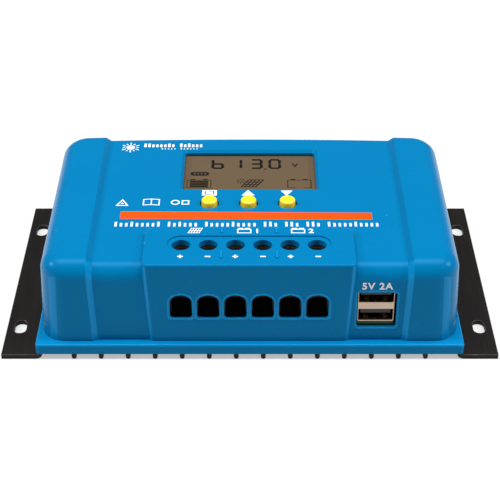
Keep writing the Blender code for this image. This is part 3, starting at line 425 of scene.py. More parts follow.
def body_outline():
    """The body's mesh lines: corners as (x side, y side, angle), and stations on the front and back edges as
    (y side, x side, x or None, ramp step or None)."""
    soft = RAMP_SOFTNESS
    ramp = [-soft + 2 * soft * i / 4 for i in range(5)] + [0.5]
    ramp += [1 - soft + 2 * soft * i / 4 for i in range(5)]
    right = [(1, 2.25 * i, None) for i in range(25)] + [(1, None, t) for t in ramp]
    right += [(1, 62.5, None), (1, 65.0, None)]
    left = [(-1, x, t) for _, x, t in reversed(right[1:])]
    along = left + right
    steps = 14
    lines = [("corner", -1, -1, 180 + 90 * i / steps) for i in range(steps + 1)]
    lines += [("edge", -1, *station) for station in along]
    lines += [("corner", 1, -1, 270 + 90 * i / steps) for i in range(steps + 1)]
    lines += [("corner", 1, 1, 90 * i / steps) for i in range(steps + 1)]
    lines += [("edge", 1, *station) for station in reversed(along)]
    lines += [("corner", -1, 1, 90 + 90 * i / steps) for i in range(steps + 1)]
    return lines, len(along)


def bow(x, y, front, back, half):
    """How far the back wall's bulge moves a point out."""
    centre = (front + back) / 2
    return BACK_BOW * max(0.0, (y - centre) / (back - centre)) * (1 - (x / half) ** 2)


def wing_point(line, angle):
    """A point of the body at a mesh line and at an angle up its rounded edge, as if it had no lower panel."""
    kind, side_a, side_b, *rest = line
    if kind == "corner":
        blend = max(0.0, min(1.0, rest[0] / 90 if side_a > 0 else 2 - rest[0] / 90)) if side_b > 0 else 0.0
    else:
        blend = max(0.0, side_a)
    radius = TOP_ROUND + (BACK_ROUND - TOP_ROUND) * blend
    if angle is None:
        z, inset = SKIRT_TOP - OVERRUN, 0.0
    else:
        z, inset = HEIGHT - radius * (1 - math.sin(angle)), radius * (1 - math.cos(angle))
    share = height_share(z)
    half = BODY_HALF_X - SIDE_DRAFT * share
    front, back = BODY_FRONT + FRONT_DRAFT * share, BODY_BACK - BACK_DRAFT * share
    if kind == "corner":
        centre = (side_a * (half - BODY_CORNER), front + BODY_CORNER if side_b < 0 else back - BODY_CORNER)
        turn = math.radians(rest[0])
        x = centre[0] + (BODY_CORNER - inset) * math.cos(turn)
        y = centre[1] + (BODY_CORNER - inset) * math.sin(turn)
    else:
        x = side_b * (rest[0] if rest[1] is None else ramp_foot(z) + RAMP_RUN * rest[1])
        y = front + inset if side_a < 0 else back - inset
    return Vector((x, y + bow(x, y, front + inset, back - inset, half - inset), z))


def panel_point(y_side, x, angle):
    """A point of the middle panel's front or back wall at an angle up its rounded edge."""
    radius = TOP_ROUND if y_side < 0 else PANEL_BACK_ROUND
    if angle is None:
        z, inset = SKIRT_TOP - OVERRUN, 0.0
    else:
        z, inset = PANEL_TOP - radius * (1 - math.sin(angle)), radius * (1 - math.cos(angle))
    lean = min(1.0, (z - SKIRT_TOP) / (PANEL_TOP - radius - SKIRT_TOP))
    if y_side < 0:
        return Vector((x, BODY_FRONT + PANEL_STEP + FRONT_DRAFT * lean + inset, z))
    swell = BACK_BOW * (1 - (x / BODY_HALF_X) ** 2)
    return Vector((x, BODY_BACK + swell - PANEL_STEP - BACK_DRAFT * lean - inset, z))


def body_point(line, angle):
    wing = wing_point(line, angle)
    if line[0] == "corner":
        return wing
    _, y_side, x_side, x, step = line
    share = ramp_share(step) if step is not None else float(x > RAMP_FOOT + RAMP_RUN)
    panel = panel_point(y_side, wing.x, angle)
    mixed = panel.lerp(wing, share)
    if step is not None:
        mixed.x = x_side * (ramp_foot(mixed.z) + RAMP_RUN * step)
    return mixed


def body():
    """The cover's outside above the skirt, wings and middle panel in one closed mesh."""
    lines, along = body_outline()
    corner = 15
    made = bmesh.new()
    angles = [None] + [math.radians(90 * i / 12) for i in range(13)]
    rings = [[made.verts.new(body_point(line, angle)) for line in lines] for angle in angles]
    count = len(lines)
    for lower, upper in zip(rings, rings[1:]):
        for i in range(count):
            made.faces.new((lower[i], lower[(i + 1) % count], upper[(i + 1) % count], upper[i]))
    made.faces.new(rings[0][::-1])
    top = rings[-1]
    front = top[corner:corner + along]
    back = top[3 * corner + along:3 * corner + 2 * along][::-1]
    for i in range(along - 1):
        made.faces.new((front[i], front[i + 1], back[i + 1], back[i]))
    made.faces.new([back[0]] + top[3 * corner + 2 * along:] + top[:corner] + [front[0]])
    made.faces.new([front[-1]] + top[corner + along:3 * corner + along] + [back[-1]])
    bmesh.ops.dissolve_degenerate(made, dist=0.0001, edges=made.edges)
    return made


def skirt():
    rows = []
    for z, inset in [(SKIRT_BOTTOM, 0.0)] + edge_steps(SKIRT_TOP, SKIRT_EDGE, 6):
        half_x, half_y = SKIRT_HALF_X - inset, SKIRT_HALF_Y - inset
        outline = rounded_rectangle((-half_x, half_x), (-half_y, half_y), SKIRT_CORNER, SKIRT_CORNER)
        rows.append([(x, y, z) for x, y in outline])
    return loft(rows)


def bump():
    rows = []
    for z, inset in [(SKIRT_TOP - OVERRUN, 0.0)] + edge_steps(HEIGHT, BUMP_EDGE, 6):
        half = BUMP_HALF_X + BUMP_FLARE * (height_share(z) - 0.5) - inset
        x = (POLE_CENTRE - half, POLE_CENTRE + half)
        y = (BUMP_FRONT + BUMP_DRAFT * height_share(z) + inset, BUMP_BACK - inset)
        rows.append([(px, py, z) for px, py in rounded_rectangle(x, y, BUMP_FRONT_CORNER, BUMP_BACK_CORNER)])
    return loft(rows)


def dividers():
    """The raised lines between the poles' signs, with rounded tops."""
    parts = []
    for x in DIVIDER_X:
        for low, high in DIVIDER_Y:
            rows = []
            for z, inset in [(HEIGHT - 0.2, 0.0)] + edge_steps(DIVIDER_TOP, 0.12, 2):
                half = DIVIDER_WIDTH / 2 - inset
                outline = rounded_rectangle((x - half, x + half), (low + inset, high - inset),
                                            half * 0.8, half * 0.8, 4)
                rows.append([(px, py, z) for px, py in outline])
            parts.append(loft(rows))
    return merged(parts)


def entry_outline(x, grow=0.0, fall=0.0):
    """A wire entry in X and Z: an arched top, and a flat foot with small round corners that may lie lower."""
    half, low, high = ENTRY_WIDTH / 2 + grow, ENTRY_BOTTOM - grow - fall, ENTRY_TOP + grow
    shoulder = high - half * ENTRY_ARCH
    arch = [(x + half * math.cos(math.radians(a)), shoulder + (high - shoulder) * math.sin(math.radians(a)))
            for a in range(0, 181, 6)]
    foot = arc((x - half + ENTRY_CORNER, low + ENTRY_CORNER), ENTRY_CORNER, 180, 270, 6)
    foot += arc((x + half - ENTRY_CORNER, low + ENTRY_CORNER), ENTRY_CORNER, 270, 360, 6)
    return arch + foot


def flared(outline_at, mouth, lip, far, end=None):
    """A cutter into a front wall with a rounded lip at its mouth. outline_at(grow) gives its outline in X and
    Z grown by an amount, and end is the outline at its inner end if that differs."""
    rows = [(outline_at(lip), mouth - OVERRUN)]
    for i in range(5):
        turn = math.radians(22.5 * i)
        rows.append((outline_at(lip * (1 - math.sin(turn))), mouth + lip * (1 - math.cos(turn))))
    rows.append((end or outline_at(0.0), far))
    return loft([[(x, y, z) for x, z in points] for points, y in rows])


def chamfered(outline_at, mouth, lip, far):
    """A cutter down into a level face with a flat chamfer at its mouth."""
    rows = [(outline_at(lip), mouth + OVERRUN), (outline_at(lip), mouth),
            (outline_at(0.0), mouth - lip), (outline_at(0.0), far)]
    return loft([[(x, y, z) for x, y in points] for points, z in rows])


def grown_rectangle(x, y, corner):
    return lambda grow: rounded_rectangle((x[0] - grow, x[1] + grow), (y[0] - grow, y[1] + grow),
                                          corner + grow * 0.6, corner + grow * 0.6, 6)


def bead(outline_at, wall_at, profile):
    """A raised rim round an opening in a front wall. profile is (grow, rise) pairs, and wall_at(z) is the
    wall's y."""
    rows = [[(x, wall_at(z) - rise, z) for x, z in outline_at(grow)] for grow, rise in profile]
    made = loft(rows + rows[:1], closed=False)
    bmesh.ops.remove_doubles(made, verts=made.verts, dist=0.0001)
    return made


def cavity():
    """The room inside the cover, with its top edges rounded to follow the outside."""
    rows = []
    for z, inset in [(0.0, 0.0)] + edge_steps(CAVITY_TOP, CAVITY_ROUND, 4):
        corner = max(CAVITY_CORNER - inset, SKIRT_CORNER)
        outline = rounded_rectangle((-CAVITY_HALF_X + inset, CAVITY_HALF_X - inset),
                                    (CAVITY_FRONT + inset, CAVITY_BACK - inset), corner, corner, 5)
        rows.append([(x, y, z) for x, y in outline])
    return loft(rows)


def panel_front(z):
    """The y of the middle panel's front wall at a height."""
    lean = min(1.0, (z - SKIRT_TOP) / (PANEL_TOP - TOP_ROUND - SKIRT_TOP))
    rise = max(0.0, z - (PANEL_TOP - TOP_ROUND))
    return BODY_FRONT + PANEL_STEP + FRONT_DRAFT * lean + TOP_ROUND - math.sqrt(TOP_ROUND ** 2 - rise ** 2)


def build_rims():
    """The raised rims round the wire entries and the USB opening, in the paler blue of painted highlight."""
    rims = [bead(lambda grow, x=x: entry_outline(x, grow),
                 lambda z: BUMP_FRONT + BUMP_DRAFT * height_share(z), RIM_PROFILE) for x in POLE_X]
    rims.append(bead(grown_rectangle(USB_X, USB_Z, USB_CORNER), panel_front, RIM_PROFILE))
    place(new_object("opening_rims", merged(rims), BLUE_PAINTED_HIGHLIGHT, smooth=60), "base", "blue_abs")


def takes_painted_highlight(at, normal):
    """Whether a face of the cover is one of its narrow edges, which take the paler blue of painted highlight: a
    ramp's front, the skirt's top, the terminal bump's front corners, the recess's wall or a divider."""
    if 0 < abs(at.x) - ramp_foot(at.z) < RAMP_RUN and at.z > SKIRT_TOP:
        return at.y < 0 and abs(normal.x) > 0.2 and normal.z < 0.6
    if SKIRT_TOP - SKIRT_EDGE < at.z < SKIRT_TOP + 0.1:
        return normal.z > 0.2
    if at.y < BUMP_FRONT + BUMP_FRONT_CORNER and at.z < HEIGHT - BUMP_EDGE:
        return 0.3 < abs(normal.x) < 0.9 and normal.y < 0 and at.z > SKIRT_TOP and abs(normal.z) < 0.2
    return at.z > HEIGHT + 0.02 or (HEIGHT - RECESS_DEPTH < at.z < HEIGHT - 0.02 and abs(normal.z) < 0.3
                                    and abs(at.y - POLE_Y) < RECESS_RADIUS + 0.1)


def build_cover():
    entry_mouth = BUMP_FRONT + BUMP_DRAFT * height_share(middle((ENTRY_BOTTOM, ENTRY_TOP)))
    entries = merged(flared(lambda grow, x=x: entry_outline(x, grow), entry_mouth, ENTRY_LIP,
                            BUMP_FRONT + BUMP_WALL + GAP, entry_outline(x, fall=ENTRY_FALL))
                     for x in POLE_X)
    floor = HEIGHT - RECESS_DEPTH
    lip = [(WELL_RADIUS + WELL_LIP * (1 - math.sin(a)), floor - WELL_LIP * (1 - math.cos(a)))
           for a in (math.radians(22.5 * i) for i in range(4, -1, -1))]
    wells = merged(turned([(0, BUMP_CAVITY_TOP - OVERRUN), (WELL_RADIUS, BUMP_CAVITY_TOP - OVERRUN), *lip,
                           (WELL_RADIUS + WELL_LIP, floor + RECESS_DEPTH / 2), (0, floor + RECESS_DEPTH / 2)],
                          (x, POLE_Y)) for x in POLE_X)
    recess = (arc((POLE_CENTRE + RECESS_HALF, POLE_Y), RECESS_RADIUS, -90, 90, 24)
              + arc((POLE_CENTRE - RECESS_HALF, POLE_Y), RECESS_RADIUS, 90, 270, 24))
    window = chamfered(grown_rectangle((-WINDOW_HALF_X, WINDOW_HALF_X), WINDOW_Y, WINDOW_CORNER),
                       PANEL_TOP, WINDOW_LIP, CAVITY_TOP - OVERRUN)
    usb = flared(grown_rectangle(USB_X, USB_Z, USB_CORNER), panel_front(middle(USB_Z)), USB_LIP,
                 CAVITY_FRONT + OVERRUN)
    holes = merged(turned([(0, CAVITY_TOP - OVERRUN), (BUTTON_HOLE, CAVITY_TOP - OVERRUN),
                           (BUTTON_HOLE, PANEL_TOP - 0.3), (BUTTON_HOLE + 0.1, PANEL_TOP - 0.1),
                           (BUTTON_HOLE + 0.3, PANEL_TOP), (BUTTON_HOLE + 0.3, PANEL_TOP + OVERRUN),
                           (0, PANEL_TOP + OVERRUN)], (middle(cap[0]), BUTTON_Y)) for cap in BUTTONS.values())
    rim_x, rim_y = PLATE_HALF_X + GAP, PLATE_HALF_Y + GAP
    shell = new_object("cover_shell", body(), BLUE)
    carve(shell, [
        ("UNION", skirt()),
        ("UNION", bump()),
        ("UNION", dividers()),
        ("DIFFERENCE", block((-rim_x, rim_x), (-rim_y, rim_y), (0.0, PLATE_TOP + GAP))),
        ("DIFFERENCE", cavity()),
        ("DIFFERENCE", block((POLE_CENTRE - BUMP_ROOM, POLE_CENTRE + BUMP_ROOM),
                             (BUMP_FRONT + BUMP_WALL, BUMP_BACK - BUMP_WALL), (PLATE_TOP, BUMP_CAVITY_TOP))),
        ("DIFFERENCE", window),
        ("DIFFERENCE", block((SHELL[0][0] - GAP, SHELL[0][1] + 3 * GAP),
                             (SHELL[1][0] - GAP, CAVITY_FRONT + OVERRUN),
                             (BOARD[2][0] - GAP, SHELL[2][1] + GAP))),
        ("DIFFERENCE", usb),
        ("DIFFERENCE", holes),
        ("DIFFERENCE", entries),
        ("DIFFERENCE", prism(recess, floor, HEIGHT + OVERRUN)),
        ("DIFFERENCE", wells),
    ])
    # The narrow edge faces take the second slot, a paler blue: painted highlight.
    shell.data.materials.append(BLUE_PAINTED_HIGHLIGHT)
    for face in shell.data.polygons:
        face.material_index = int(takes_painted_highlight(face.center / MM, face.normal))
    shell.modifiers.new("even shading", "WEIGHTED_NORMAL").keep_sharp = True
    place(shell, "base", "blue_abs", "top_cover")


# ------------------------------------------------------------------ heatsink

def heatsink_section():
    """The extrusion's outline in X and Z, with its flanges and fins."""
    half = SINK[0][1]
    inner, outer = UNDERCUT
    curve = [(outer - (outer - inner) * math.sin(math.radians(a)), FLANGE * (1 - math.cos(math.radians(a))))
             for a in range(0, 91, 10)]
    left = [(-half, FLANGE), (-half, 0.0)] + [(-x, z) for x, z in curve]
    fins = []
    tip = FIN_THICKNESS / 2
    for i in range(FIN_COUNT):
        x = FIN_PITCH * (i - (FIN_COUNT - 1) / 2)
        fins += [(x - tip, FLANGE), *arc((x, tip), tip, 180, 360, 12), (x + tip, FLANGE)]
    right = [(-x, z) for x, z in reversed(left)]
    plate = [(PLATE_HALF_X, FLANGE), (PLATE_HALF_X, PLATE_TOP),
             (-PLATE_HALF_X, PLATE_TOP), (-PLATE_HALF_X, FLANGE)]
    return left + fins + right + plate


def build_heatsink():
    half_y = SINK[1][1]
    sink = new_object("finned_plate", prism(heatsink_section(), -half_y, half_y, "Y"), ANODISED)
    reach = (SLOT_LENGTH - SLOT_WIDTH) / 2
    slots = [prism(arc((x, y + reach), SLOT_WIDTH / 2, 0, 180, 20)
                   + arc((x, y - reach), SLOT_WIDTH / 2, 180, 360, 20),
                   -OVERRUN, FLANGE + OVERRUN) for x in (-SLOT_X, SLOT_X) for y in (-SLOT_Y, SLOT_Y)]
    carve(sink, [("DIFFERENCE", merged(
        block((-PLATE_HALF_X - OVERRUN, PLATE_HALF_X + OVERRUN), y, (FLANGE, PLATE_TOP + OVERRUN))
        for y in ((-2 * half_y, -PLATE_HALF_Y), (PLATE_HALF_Y, 2 * half_y)))), ("DIFFERENCE", merged(slots))])
    # The bevel faces take the lighter edge colour: rubbed edges and painted highlight.
    sink.data.materials.append(WORN_EDGE_AND_HIGHLIGHT)
    soften(sink, 0.12, 1, 50)
    sink.modifiers["soft edges"].material = 1
    place(sink, "base", "black_anodised", "heatsink")


# ------------------------------------------------------------------ display, buttons and print

def hollow(outer, inner, low, high):
    """A flat ring between two outlines of equally many points."""
    levels = [(outer, low), (outer, high), (inner, high), (inner, low), (outer, low)]
    made = loft([[(x, y, z) for x, y in points] for points, z in levels], closed=False)
    bmesh.ops.remove_doubles(made, verts=made.verts, dist=0.0001)
    return made


def flat_print(shapes, z):
    """Thin flat shapes lying on a level surface: outlines, or pairs of an outer and an inner outline."""
    low, high = z - PRINT_HEIGHT, z + PRINT_HEIGHT
    return merged(hollow(*shape, low, high) if isinstance(shape, tuple) else prism(shape, low, high)
                  for shape in shapes)


def stroke(start, end, width, point=0.0):
    """A straight bar between two points, with pointed ends if asked."""
    a, b = Vector(start), Vector(end)
    along = (b - a).normalized()
    across = Vector((-along.y, along.x)) * width / 2
    if not point:
        return [a - across, b - across, b + across, a + across]
    return [a - along * point, a - across, b - across, b + along * point, b + across, a + across]


def band(points, width, closed=False):
    """A line of even width along points, with mitred corners: an outline, or a pair of them for a closed
    line."""
    places, count = [Vector(point) for point in points], len(points)
    left, right = [], []
    for i, here in enumerate(places):
        ways = []
        if closed or i > 0:
            ways.append((here - places[i - 1]).normalized())
        if closed or i < count - 1:
            ways.append((places[(i + 1) % count] - here).normalized())
        normals = [Vector((-way.y, way.x)) for way in ways]
        mean = sum(normals, Vector((0.0, 0.0))).normalized()
        mitre = mean * (width / 2) / max(0.3, mean.dot(normals[0]))
        left.append(here + mitre)
        right.append(here - mitre)
    return (right, left) if closed else left + right[::-1]


def rectangle(x, y):
    return [(x[0], y[0]), (x[1], y[0]), (x[1], y[1]), (x[0], y[1])]


def ring(centre, radius, width):
    return band(arc(centre, radius, 0, 360, 28)[:-1], width, closed=True)


DIGIT_Y, DIGIT_WIDTH, DIGIT_BAR = (27.05, 34.8), 5.1, 1.15
DIGIT_X = (-15.5, -8.1, 0.1, 7.5)
READING = ("cdefg", "bc", "abcdg", "abcdef")


def digit(x, lit):
    """The lit bars of a seven-segment figure whose left edge is at x."""
    half = DIGIT_BAR / 2
    left, right, low, high = x + half, x + DIGIT_WIDTH - half, DIGIT_Y[0] + half, DIGIT_Y[1] - half
    centre, space = (low + high) / 2, 0.42
    bars = {
        "a": ((left + space, high), (right - space, high)),
        "b": ((right, centre + space), (right, high - space)),
        "c": ((right, low + space), (right, centre - space)),
        "d": ((left + space, low), (right - space, low)),
        "e": ((left, low + space), (left, centre - space)),
        "f": ((left, centre + space), (left, high - space)),
        "g": ((left + space, centre), (right - space, centre)),
    }
    return [stroke(*bars[name], DIGIT_BAR, half * 0.7) for name in lit]


def battery_ends(x, y):
    """A battery sign's two terminals."""
    marks = []
    for share in (0.24, 0.76):
        at = x[0] + (x[1] - x[0]) * share
        marks.append(rectangle((at - 0.9, at + 0.9), (y[1] + 0.15, y[1] + 0.8)))
    return marks


def build_display():
    face = GLASS[2][1]
    outline = grown_rectangle(GLASS[0], GLASS[1], 0.6)
    rows = [(outline(0.0), GLASS[2][0]), (outline(0.0), face - 0.15), (outline(-0.15), face)]
    glass = new_object("display_face", loft([[(x, y, z) for x, y in points] for points, z in rows]), LCD)
    place(glass, "base", "lcd_glass", "lcd_glass")
    dark = [bar for x, lit in zip(DIGIT_X, READING) for bar in digit(x, lit)]
    dark.append(rectangle((5.75, 6.55), (DIGIT_Y[0] - 0.5, DIGIT_Y[0] + 0.3)))
    dark.append(band([(17.2, 31.3), (18.25, 29.0), (19.3, 31.3)], 0.55))
    left, right, level = (-24.8, -15.4), (15.0, 24.2), (12.5, 18.4)
    for i in range(4):
        low = level[0] + 0.55 + i * 1.27
        dark.append(rectangle((left[0] + 1.1, left[1] - 1.1), (low, low + 1.0)))
    faint = battery_ends(left, level) + battery_ends(right, level)
    faint.append(band(rectangle(left, level), 0.3, closed=True))
    gap = middle(right)
    faint.append(band([(gap - 1.6, level[0]), (right[0], level[0]), (right[0], level[1]),
                       (right[1], level[1]), (right[1], level[0]), (gap + 1.6, level[0])], 0.34))
    foot, head, slant = (-3.4, 2.4), (13.3, 18.6), 3.0
    for i in range(5):
        x = foot[0] + (foot[1] - foot[0]) * i / 4
        dark.append(stroke((x, head[0]), (x + slant, head[1]), 0.42))
    rungs = []
    for i in range(4):
        share = i / 3
        y = head[0] + (head[1] - head[0]) * share
        rungs.append(stroke((foot[0] + slant * share - 0.2, y), (foot[1] + slant * share + 0.2, y), 0.42))
    sun = Vector((-3.6, 17.6))
    for i in range(8):
        turn = math.radians(45 * i)
        way = Vector((math.cos(turn), math.sin(turn)))
        dark.append(stroke(sun + way * 0.75, sun + way * 1.9, 0.3))
    pill = rounded_rectangle((-23.8, -16.2), (21.8, 24.7), 1.4, 1.4)
    place(new_object("display_segments", flat_print(dark, face), SEGMENT), "base", "lcd_glass")
    place(new_object("display_panel_rungs", flat_print(rungs, face + 0.01), SEGMENT), "base", "lcd_glass")
    place(new_object("display_outlines", flat_print(faint + [pill], face), SEGMENT_FAINT), "base",
          "lcd_glass")
    dots = [rectangle((x, x + 0.7), (22.9, 23.7)) for x in (-22.4, -21.0, -19.6, -18.2)]
    place(new_object("display_pill_dots", flat_print(dots, face + 0.03), LCD), "base", "lcd_glass")


def build_buttons():
    for name, cap in BUTTONS.items():
        at, low, top = (middle(cap[0]), BUTTON_Y), cap[2][0], cap[2][1]
        flange = (cap[0][1] - cap[0][0]) / 2
        crown = [(CAP_RADIUS - 0.25 - inset, z) for z, inset in edge_steps(top - 0.05, CAP_EDGE, 8)]
        builder = turned([(0, low), (flange, low), (flange, low + 0.8), (CAP_RADIUS, low + 0.8), *crown,
                          (1.2, top - 0.01), (0, top)], at, 72)
        piece = new_object(f"{name}_button_cap", builder, YELLOW)
        place(piece, f"{name}_button", "yellow_cap", f"{name}_cap")


def word_bars(x, y, height, words, pitch=1.06, width=0.46):
    """A line of short upright bars in groups, standing where a line of words would be."""
    count = sum(words) + len(words) - 1
    scale = (x[1] - x[0]) / (count * pitch)
    bars, index = [], 0
    for word in words:
        for i in range(word):
            low = y
            tall = height if i == 0 or (i * 7 + word) % 5 == 0 else height * 0.74
            left = x[0] + index * pitch * scale
            bars.append(rectangle((left, left + width * scale), (low, low + tall)))
            index += 1
        index += 1
    return bars


POLE_SIGN, POLE_SIGN_Y = 2.0, -41.7


def plus(x, y, size, width):
    """The outline of a plus sign."""
    far, near = size / 2, width / 2
    return [(x + u, y + v) for u, v in (
        (-near, -far), (near, -far), (near, -near), (far, -near), (far, near), (near, near),
        (near, far), (-near, far), (-near, near), (-far, near), (-far, -near), (-near, -near))]


FIGURE_SIZE = 3.9


def lettering(text, at, z, material, name):
    """Plain figures in Blender's own font, lying flat or mapped on the front wall when z is None."""
    curve = bpy.data.curves.new(name, "FONT")
    curve.body, curve.size, curve.extrude, curve.align_x = text, FIGURE_SIZE * MM, PRINT_HEIGHT * MM, "CENTER"
    curve.resolution_u = 6
    curve.space_character = 1.15
    curve.offset = 0.00011
    scratch = bpy.data.objects.new(name, curve)
    bpy.context.scene.collection.objects.link(scratch)
    graph = bpy.context.evaluated_depsgraph_get()
    mesh = bpy.data.meshes.new_from_object(scratch.evaluated_get(graph))
    bpy.data.objects.remove(scratch, do_unlink=True)
    for vertex in mesh.vertices:
        u, v, w = vertex.co / MM
        if z is None:
            height = at[1] + v
            vertex.co = Vector((at[0] + u, panel_front(height) - w, height)) * MM
        else:
            vertex.co = Vector((at[0] + u, at[1] + v, z + w)) * MM
    mesh.materials.clear()
    mesh.materials.append(material)
    made = bpy.data.objects.new(name, mesh)
    bpy.context.scene.collection.objects.link(made)
    place(made, "base", None)


def build_print():
    stripe = [(-49.0, -13.65), (46.2, -14.2), (46.2, -9.4), (-49.0, -8.45)]
    place(new_object("orange_stripe", flat_print([stripe], PANEL_TOP), ORANGE_PRINT), "base", None)
    signs = word_bars((-50.7, 49.3), -18.9, 3.1, (9, 6, 10, 3, 3, 3, 10), 1.06)
    signs.append(band([(-51.0, -4.2), (-46.8, -4.2), (-48.9, -0.2)], 0.5, closed=True))
    signs += [arc((-48.9, -2.75), 0.5, 0, 360, 12)[:-1]]
    signs.append(band([(-37.8, -3.6), (-40.8, -3.9), (-40.8, 0.1), (-37.8, 0.4), (-34.8, 0.1),
                       (-34.8, -3.9)], 0.45, True))
    signs.append(stroke((-37.8, -3.35), (-37.8, 0.15), 0.4))
    signs.append(ring((-28.6, -2.0), 1.45, 0.55))
    signs.append(band(rectangle((-25.9, -23.5), (-3.3, -0.8)), 0.55, closed=True))
    signs += [rectangle((-18.5, -12.8), (3.0, 6.9))]
    signs += [[(-3.2, 3.0), (1.9, 3.0), (-0.65, 7.0)], [(12.0, 6.6), (14.25, 2.8), (16.6, 6.6)]]
    centre, rays = Vector((-48.7, 40.1)), 12
    signs += [arc(centre, 1.7, 0, 360, 28)[:-1]]
    for i in range(rays):
        way = Vector((math.cos(math.tau * i / rays), math.sin(math.tau * i / rays)))
        signs.append(stroke(centre + way * 2.3, centre + way * (3.9 if i % 2 else 3.3), 0.5))
    signs += word_bars((-43.2, -18.8), 40.4, 2.9, (8, 6), 1.3, 0.75)
    signs += word_bars((-36.0, -20.5), 38.6, 0.9, (5, 6), 1.3, 0.5)
    place(new_object("panel_signs", flat_print(signs, PANEL_TOP), WHITE_PRINT), "base", None)
    marks = [band([(-17.3, 6.2), (-17.3, 3.9), (-15.1, 3.9)], 0.5),
             band([(-16.1, 6.1), (-14.0, 6.1), (-14.0, 3.8)], 0.5)]
    place(new_object("menu_sign_marks", flat_print(marks, PANEL_TOP + 0.03), BLUE), "base", None)
    top = []
    for x in POLE_X[::2]:
        top.append(plus(x, POLE_SIGN_Y, POLE_SIGN, 0.65))
    for x in POLE_X[1::2]:
        top.append(rectangle((x - POLE_SIGN / 2, x + POLE_SIGN / 2),
                             (POLE_SIGN_Y - 0.35, POLE_SIGN_Y + 0.35)))
    pairs = [(POLE_X[i] + POLE_X[i + 1]) / 2 for i in (0, 2, 4)]
    low, high = -26.3, -23.2
    for i in range(5):
        x = pairs[0] - 2.6 + 4.0 * i / 4
        top.append(stroke((x, low), (x + 1.2, high), 0.32))
    rungs = []
    for i in range(3):
        y = low + (high - low) * i / 2
        shift = 1.2 * i / 2
        rungs.append(stroke((pairs[0] - 2.76 + shift, y), (pairs[0] + 1.56 + shift, y), 0.32))
    for x in pairs[1:]:
        top.append(band(rectangle((x - 4.2, x + 0.6), (low, high - 0.7)), 0.45, closed=True))
        top += battery_ends((x - 4.2, x + 0.6), (low, high - 0.63))
    place(new_object("terminal_panel_rungs", flat_print(rungs, HEIGHT + 0.01), WHITE_PRINT), "base", None)
    place(new_object("terminal_signs", flat_print(top, HEIGHT), WHITE_PRINT), "base", None)
    lettering("1", (pairs[1] + 3.0, low - 0.05), HEIGHT, WHITE_PRINT, "battery_figure_1")
    lettering("2", (pairs[2] + 3.0, low - 0.05), HEIGHT, WHITE_PRINT, "battery_figure_2")
    lettering("5V 2A", (46.1, 28.7), None, WHITE_PRINT, "usb_rating")


# ------------------------------------------------------------------ USB socket and terminals

def build_usb():
    low, high = SHELL[0]
    centre, front, top = middle(SHELL[0]), SHELL[1][0], SHELL[2][1]
    inset, corner = 0.2, 0.6
    face = rounded_rectangle((low + inset, high - inset), (SHELL[2][0] + inset, top - inset),
                             corner, corner, 5)
    outline = rounded_rectangle(SHELL[0], SHELL[2], corner, corner, 5)
    shell = new_object("usb_socket_shell", loft([[(x, y, z) for x, z in points] for y, points in (
        (front, face), (front + inset, outline), (SHELL[1][1], outline))]), NICKEL)
    port_x = (centre - PORT_HALF, centre + PORT_HALF)
    ports = merged(flared(grown_rectangle(port_x, (z, z + PORT_HEIGHT), 0.3), front, PORT_LIP, PORT_BACK)
                   for z in PORT_FLOORS)
    notches = merged(block((x - 0.35, x + 0.35), (front + 0.5, front + 1.6), (z - 0.45, z + 0.3))
                     for z in PORT_FLOORS for x in (centre - 3.1, centre, centre + 3.1))
    room = block(port_x, (PORT_BACK, SHELL[1][1] + OVERRUN),
                 (PORT_FLOORS[0], PORT_FLOORS[1] + PORT_HEIGHT))
    carve(shell, [("DIFFERENCE", ports), ("DIFFERENCE", notches), ("DIFFERENCE", room)])
    place(shell, "base", "nickel", "usb_shell")
    springs = []
    for z in PORT_FLOORS:
        for x in (centre - SPRING_X, centre + SPRING_X):
            line = [(front + 1.8, z + 0.1), (front + 4.0, z + 0.9),
                    (front + 5.2, z + 1.0), (front + 7.0, z + 0.1)]
            strip = line + [(y, h + 0.25) for y, h in reversed(line)]
            springs.append(prism(strip, x - 0.8, x + 0.8, "X"))
    place(new_object("usb_springs", merged(springs), NICKEL), "base", "nickel")
    tongue = (centre - PORT_HALF + 0.8, centre + PORT_HALF - 0.8)
    insert = new_object("usb_tongues", block((centre - PORT_HALF + GAP, centre + PORT_HALF - GAP),
                                             (PORT_BACK + GAP, TONGUES[1][1]), TONGUES[2]), TONGUE_BLACK)
    undersides = [z + PORT_HEIGHT - TONGUE_UNDER_TOP - TONGUE_THICKNESS for z in PORT_FLOORS]
    carve(insert, [("UNION", block(tongue, (TONGUES[1][0], PORT_BACK + OVERRUN), (z, z + TONGUE_THICKNESS)))
                   for z in undersides])
    soften(insert, 0.12)
    place(insert, "base", "black_plastic", "usb_insulator")
    strips = [block((x - 0.5, x + 0.5), (TONGUES[1][0] + 0.6, PORT_BACK - 0.5), (z - 0.12, z + 0.1))
              for z in undersides for x in (centre + (i - 1.5) * 2.3 for i in range(4))]
    place(new_object("usb_contacts", merged(strips), GOLD), "base", "copper_alloy")


def build_terminal_screws():
    for i, pole in enumerate(POLES, 1):
        x, low, high = middle(pole[0]), pole[2][0], pole[2][1]
        radius, shank, head = (pole[0][1] - pole[0][0]) / 2, 1.85, 33.2
        threads = []
        turns, crest = 9, 0.16
        for k in range(turns * 2 + 1):
            z = low + 0.5 + (head - 0.4 - low - 0.5) * k / (turns * 2)
            threads.append((shank - (crest if k % 2 else 0.0), z))
        profile = [(0, low), (shank - 0.45, low), *threads, (shank - 0.2, head), (radius - 0.1, head),
                   (radius, head + 0.15), (radius, high - 0.45), (radius - 0.12, high - 0.15),
                   (radius - 0.45, high), (0, high)]
        screw = new_object(f"terminal_screw_body_{i}", turned(profile, (x, POLE_Y), 40), STEEL)
        carve(screw, [("DIFFERENCE", block((x - radius - 1, x + radius + 1), (POLE_Y - 0.45, POLE_Y + 0.45),
                                           (high - 1.1, high + 1)))])
        place(screw, f"screw_{i}", "steel", f"terminal_screw_{i}")


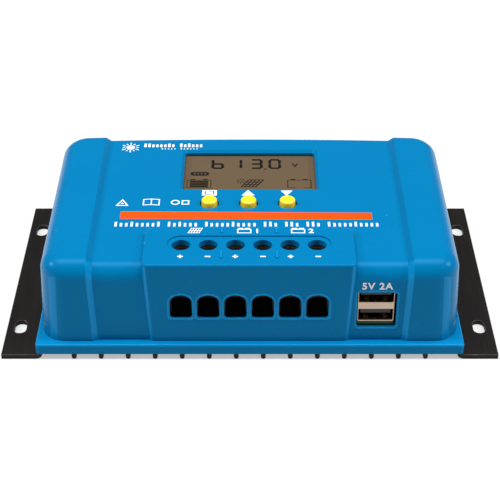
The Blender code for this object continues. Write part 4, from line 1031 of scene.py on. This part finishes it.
def dress_frame():
    """Materials and softened edges for the CAD nodes that still show."""
    slots = {part["node"]: part["material_slot"] for part in frame["record"]["subparts"]}
    for name, obj in frame["nodes"].items():
        if obj.hide_render:
            continue
        obj.data.materials.clear()
        obj.data.materials.append(SLOT_FINISHES[slots[name]])
        soften(obj, 0.08, 1, 40, weld=True)


# ------------------------------------------------------------------ stage

FLOOR_HALF, FLOOR_THICKNESS = 3000.0, 10.0
CAMERA_AT, CAMERA_PITCH, CAMERA_LENS = (0.08, -455.53, 323.21), 55.88, 100.4


def area_light(name, at, towards, size, power):
    light = bpy.data.lights.new(name, "AREA")
    light.shape, light.size, light.size_y = "RECTANGLE", size[0] * MM, size[1] * MM
    light.energy = power
    lamp = bpy.data.objects.new(name, light)
    lamp.location = Vector(at) * MM
    lamp.rotation_euler = (Vector(towards) - Vector(at)).to_track_quat("-Z", "Y").to_euler()
    bpy.context.scene.collection.objects.link(lamp)


def build_stage():
    slab = prism(rectangle((-FLOOR_HALF, FLOOR_HALF), (-FLOOR_HALF, FLOOR_HALF)), -FLOOR_THICKNESS, -0.02)
    floor = new_object("floor", slab, FLOOR, smooth=0)
    world = bpy.data.worlds.new("studio")
    bpy.context.scene.world = world
    world.use_nodes = True
    backdrop = world.node_tree.nodes["Background"]
    backdrop.inputs["Color"].default_value = (1.0, 1.0, 1.0, 1.0)
    backdrop.inputs["Strength"].default_value = 0.10
    area_light("top", (0, -30, 950), (0, -30, 20), (1300, 420), 14.9)
    area_light("left", (-700, -70, 470), (0, 0, 20), (76, 76), 2.2)
    area_light("right", (700, -70, 470), (0, 0, 20), (76, 76), 2.2)
    view = bpy.data.cameras.new("photo angle")
    view.lens, view.sensor_width = CAMERA_LENS, 36.0
    view.clip_start, view.clip_end = 0.01, 20.0
    camera = bpy.data.objects.new("photo angle", view)
    camera.location = Vector(CAMERA_AT) * MM
    camera.rotation_euler = (math.radians(CAMERA_PITCH), 0.0, 0.0)
    bpy.context.scene.collection.objects.link(camera)
    bpy.context.scene.camera = camera
    bpy.context.scene.view_settings.view_transform = "Standard"


build_cover()
build_rims()
build_heatsink()
build_display()
build_buttons()
build_print()
build_usb()
build_terminal_screws()
dress_frame()
build_stage()
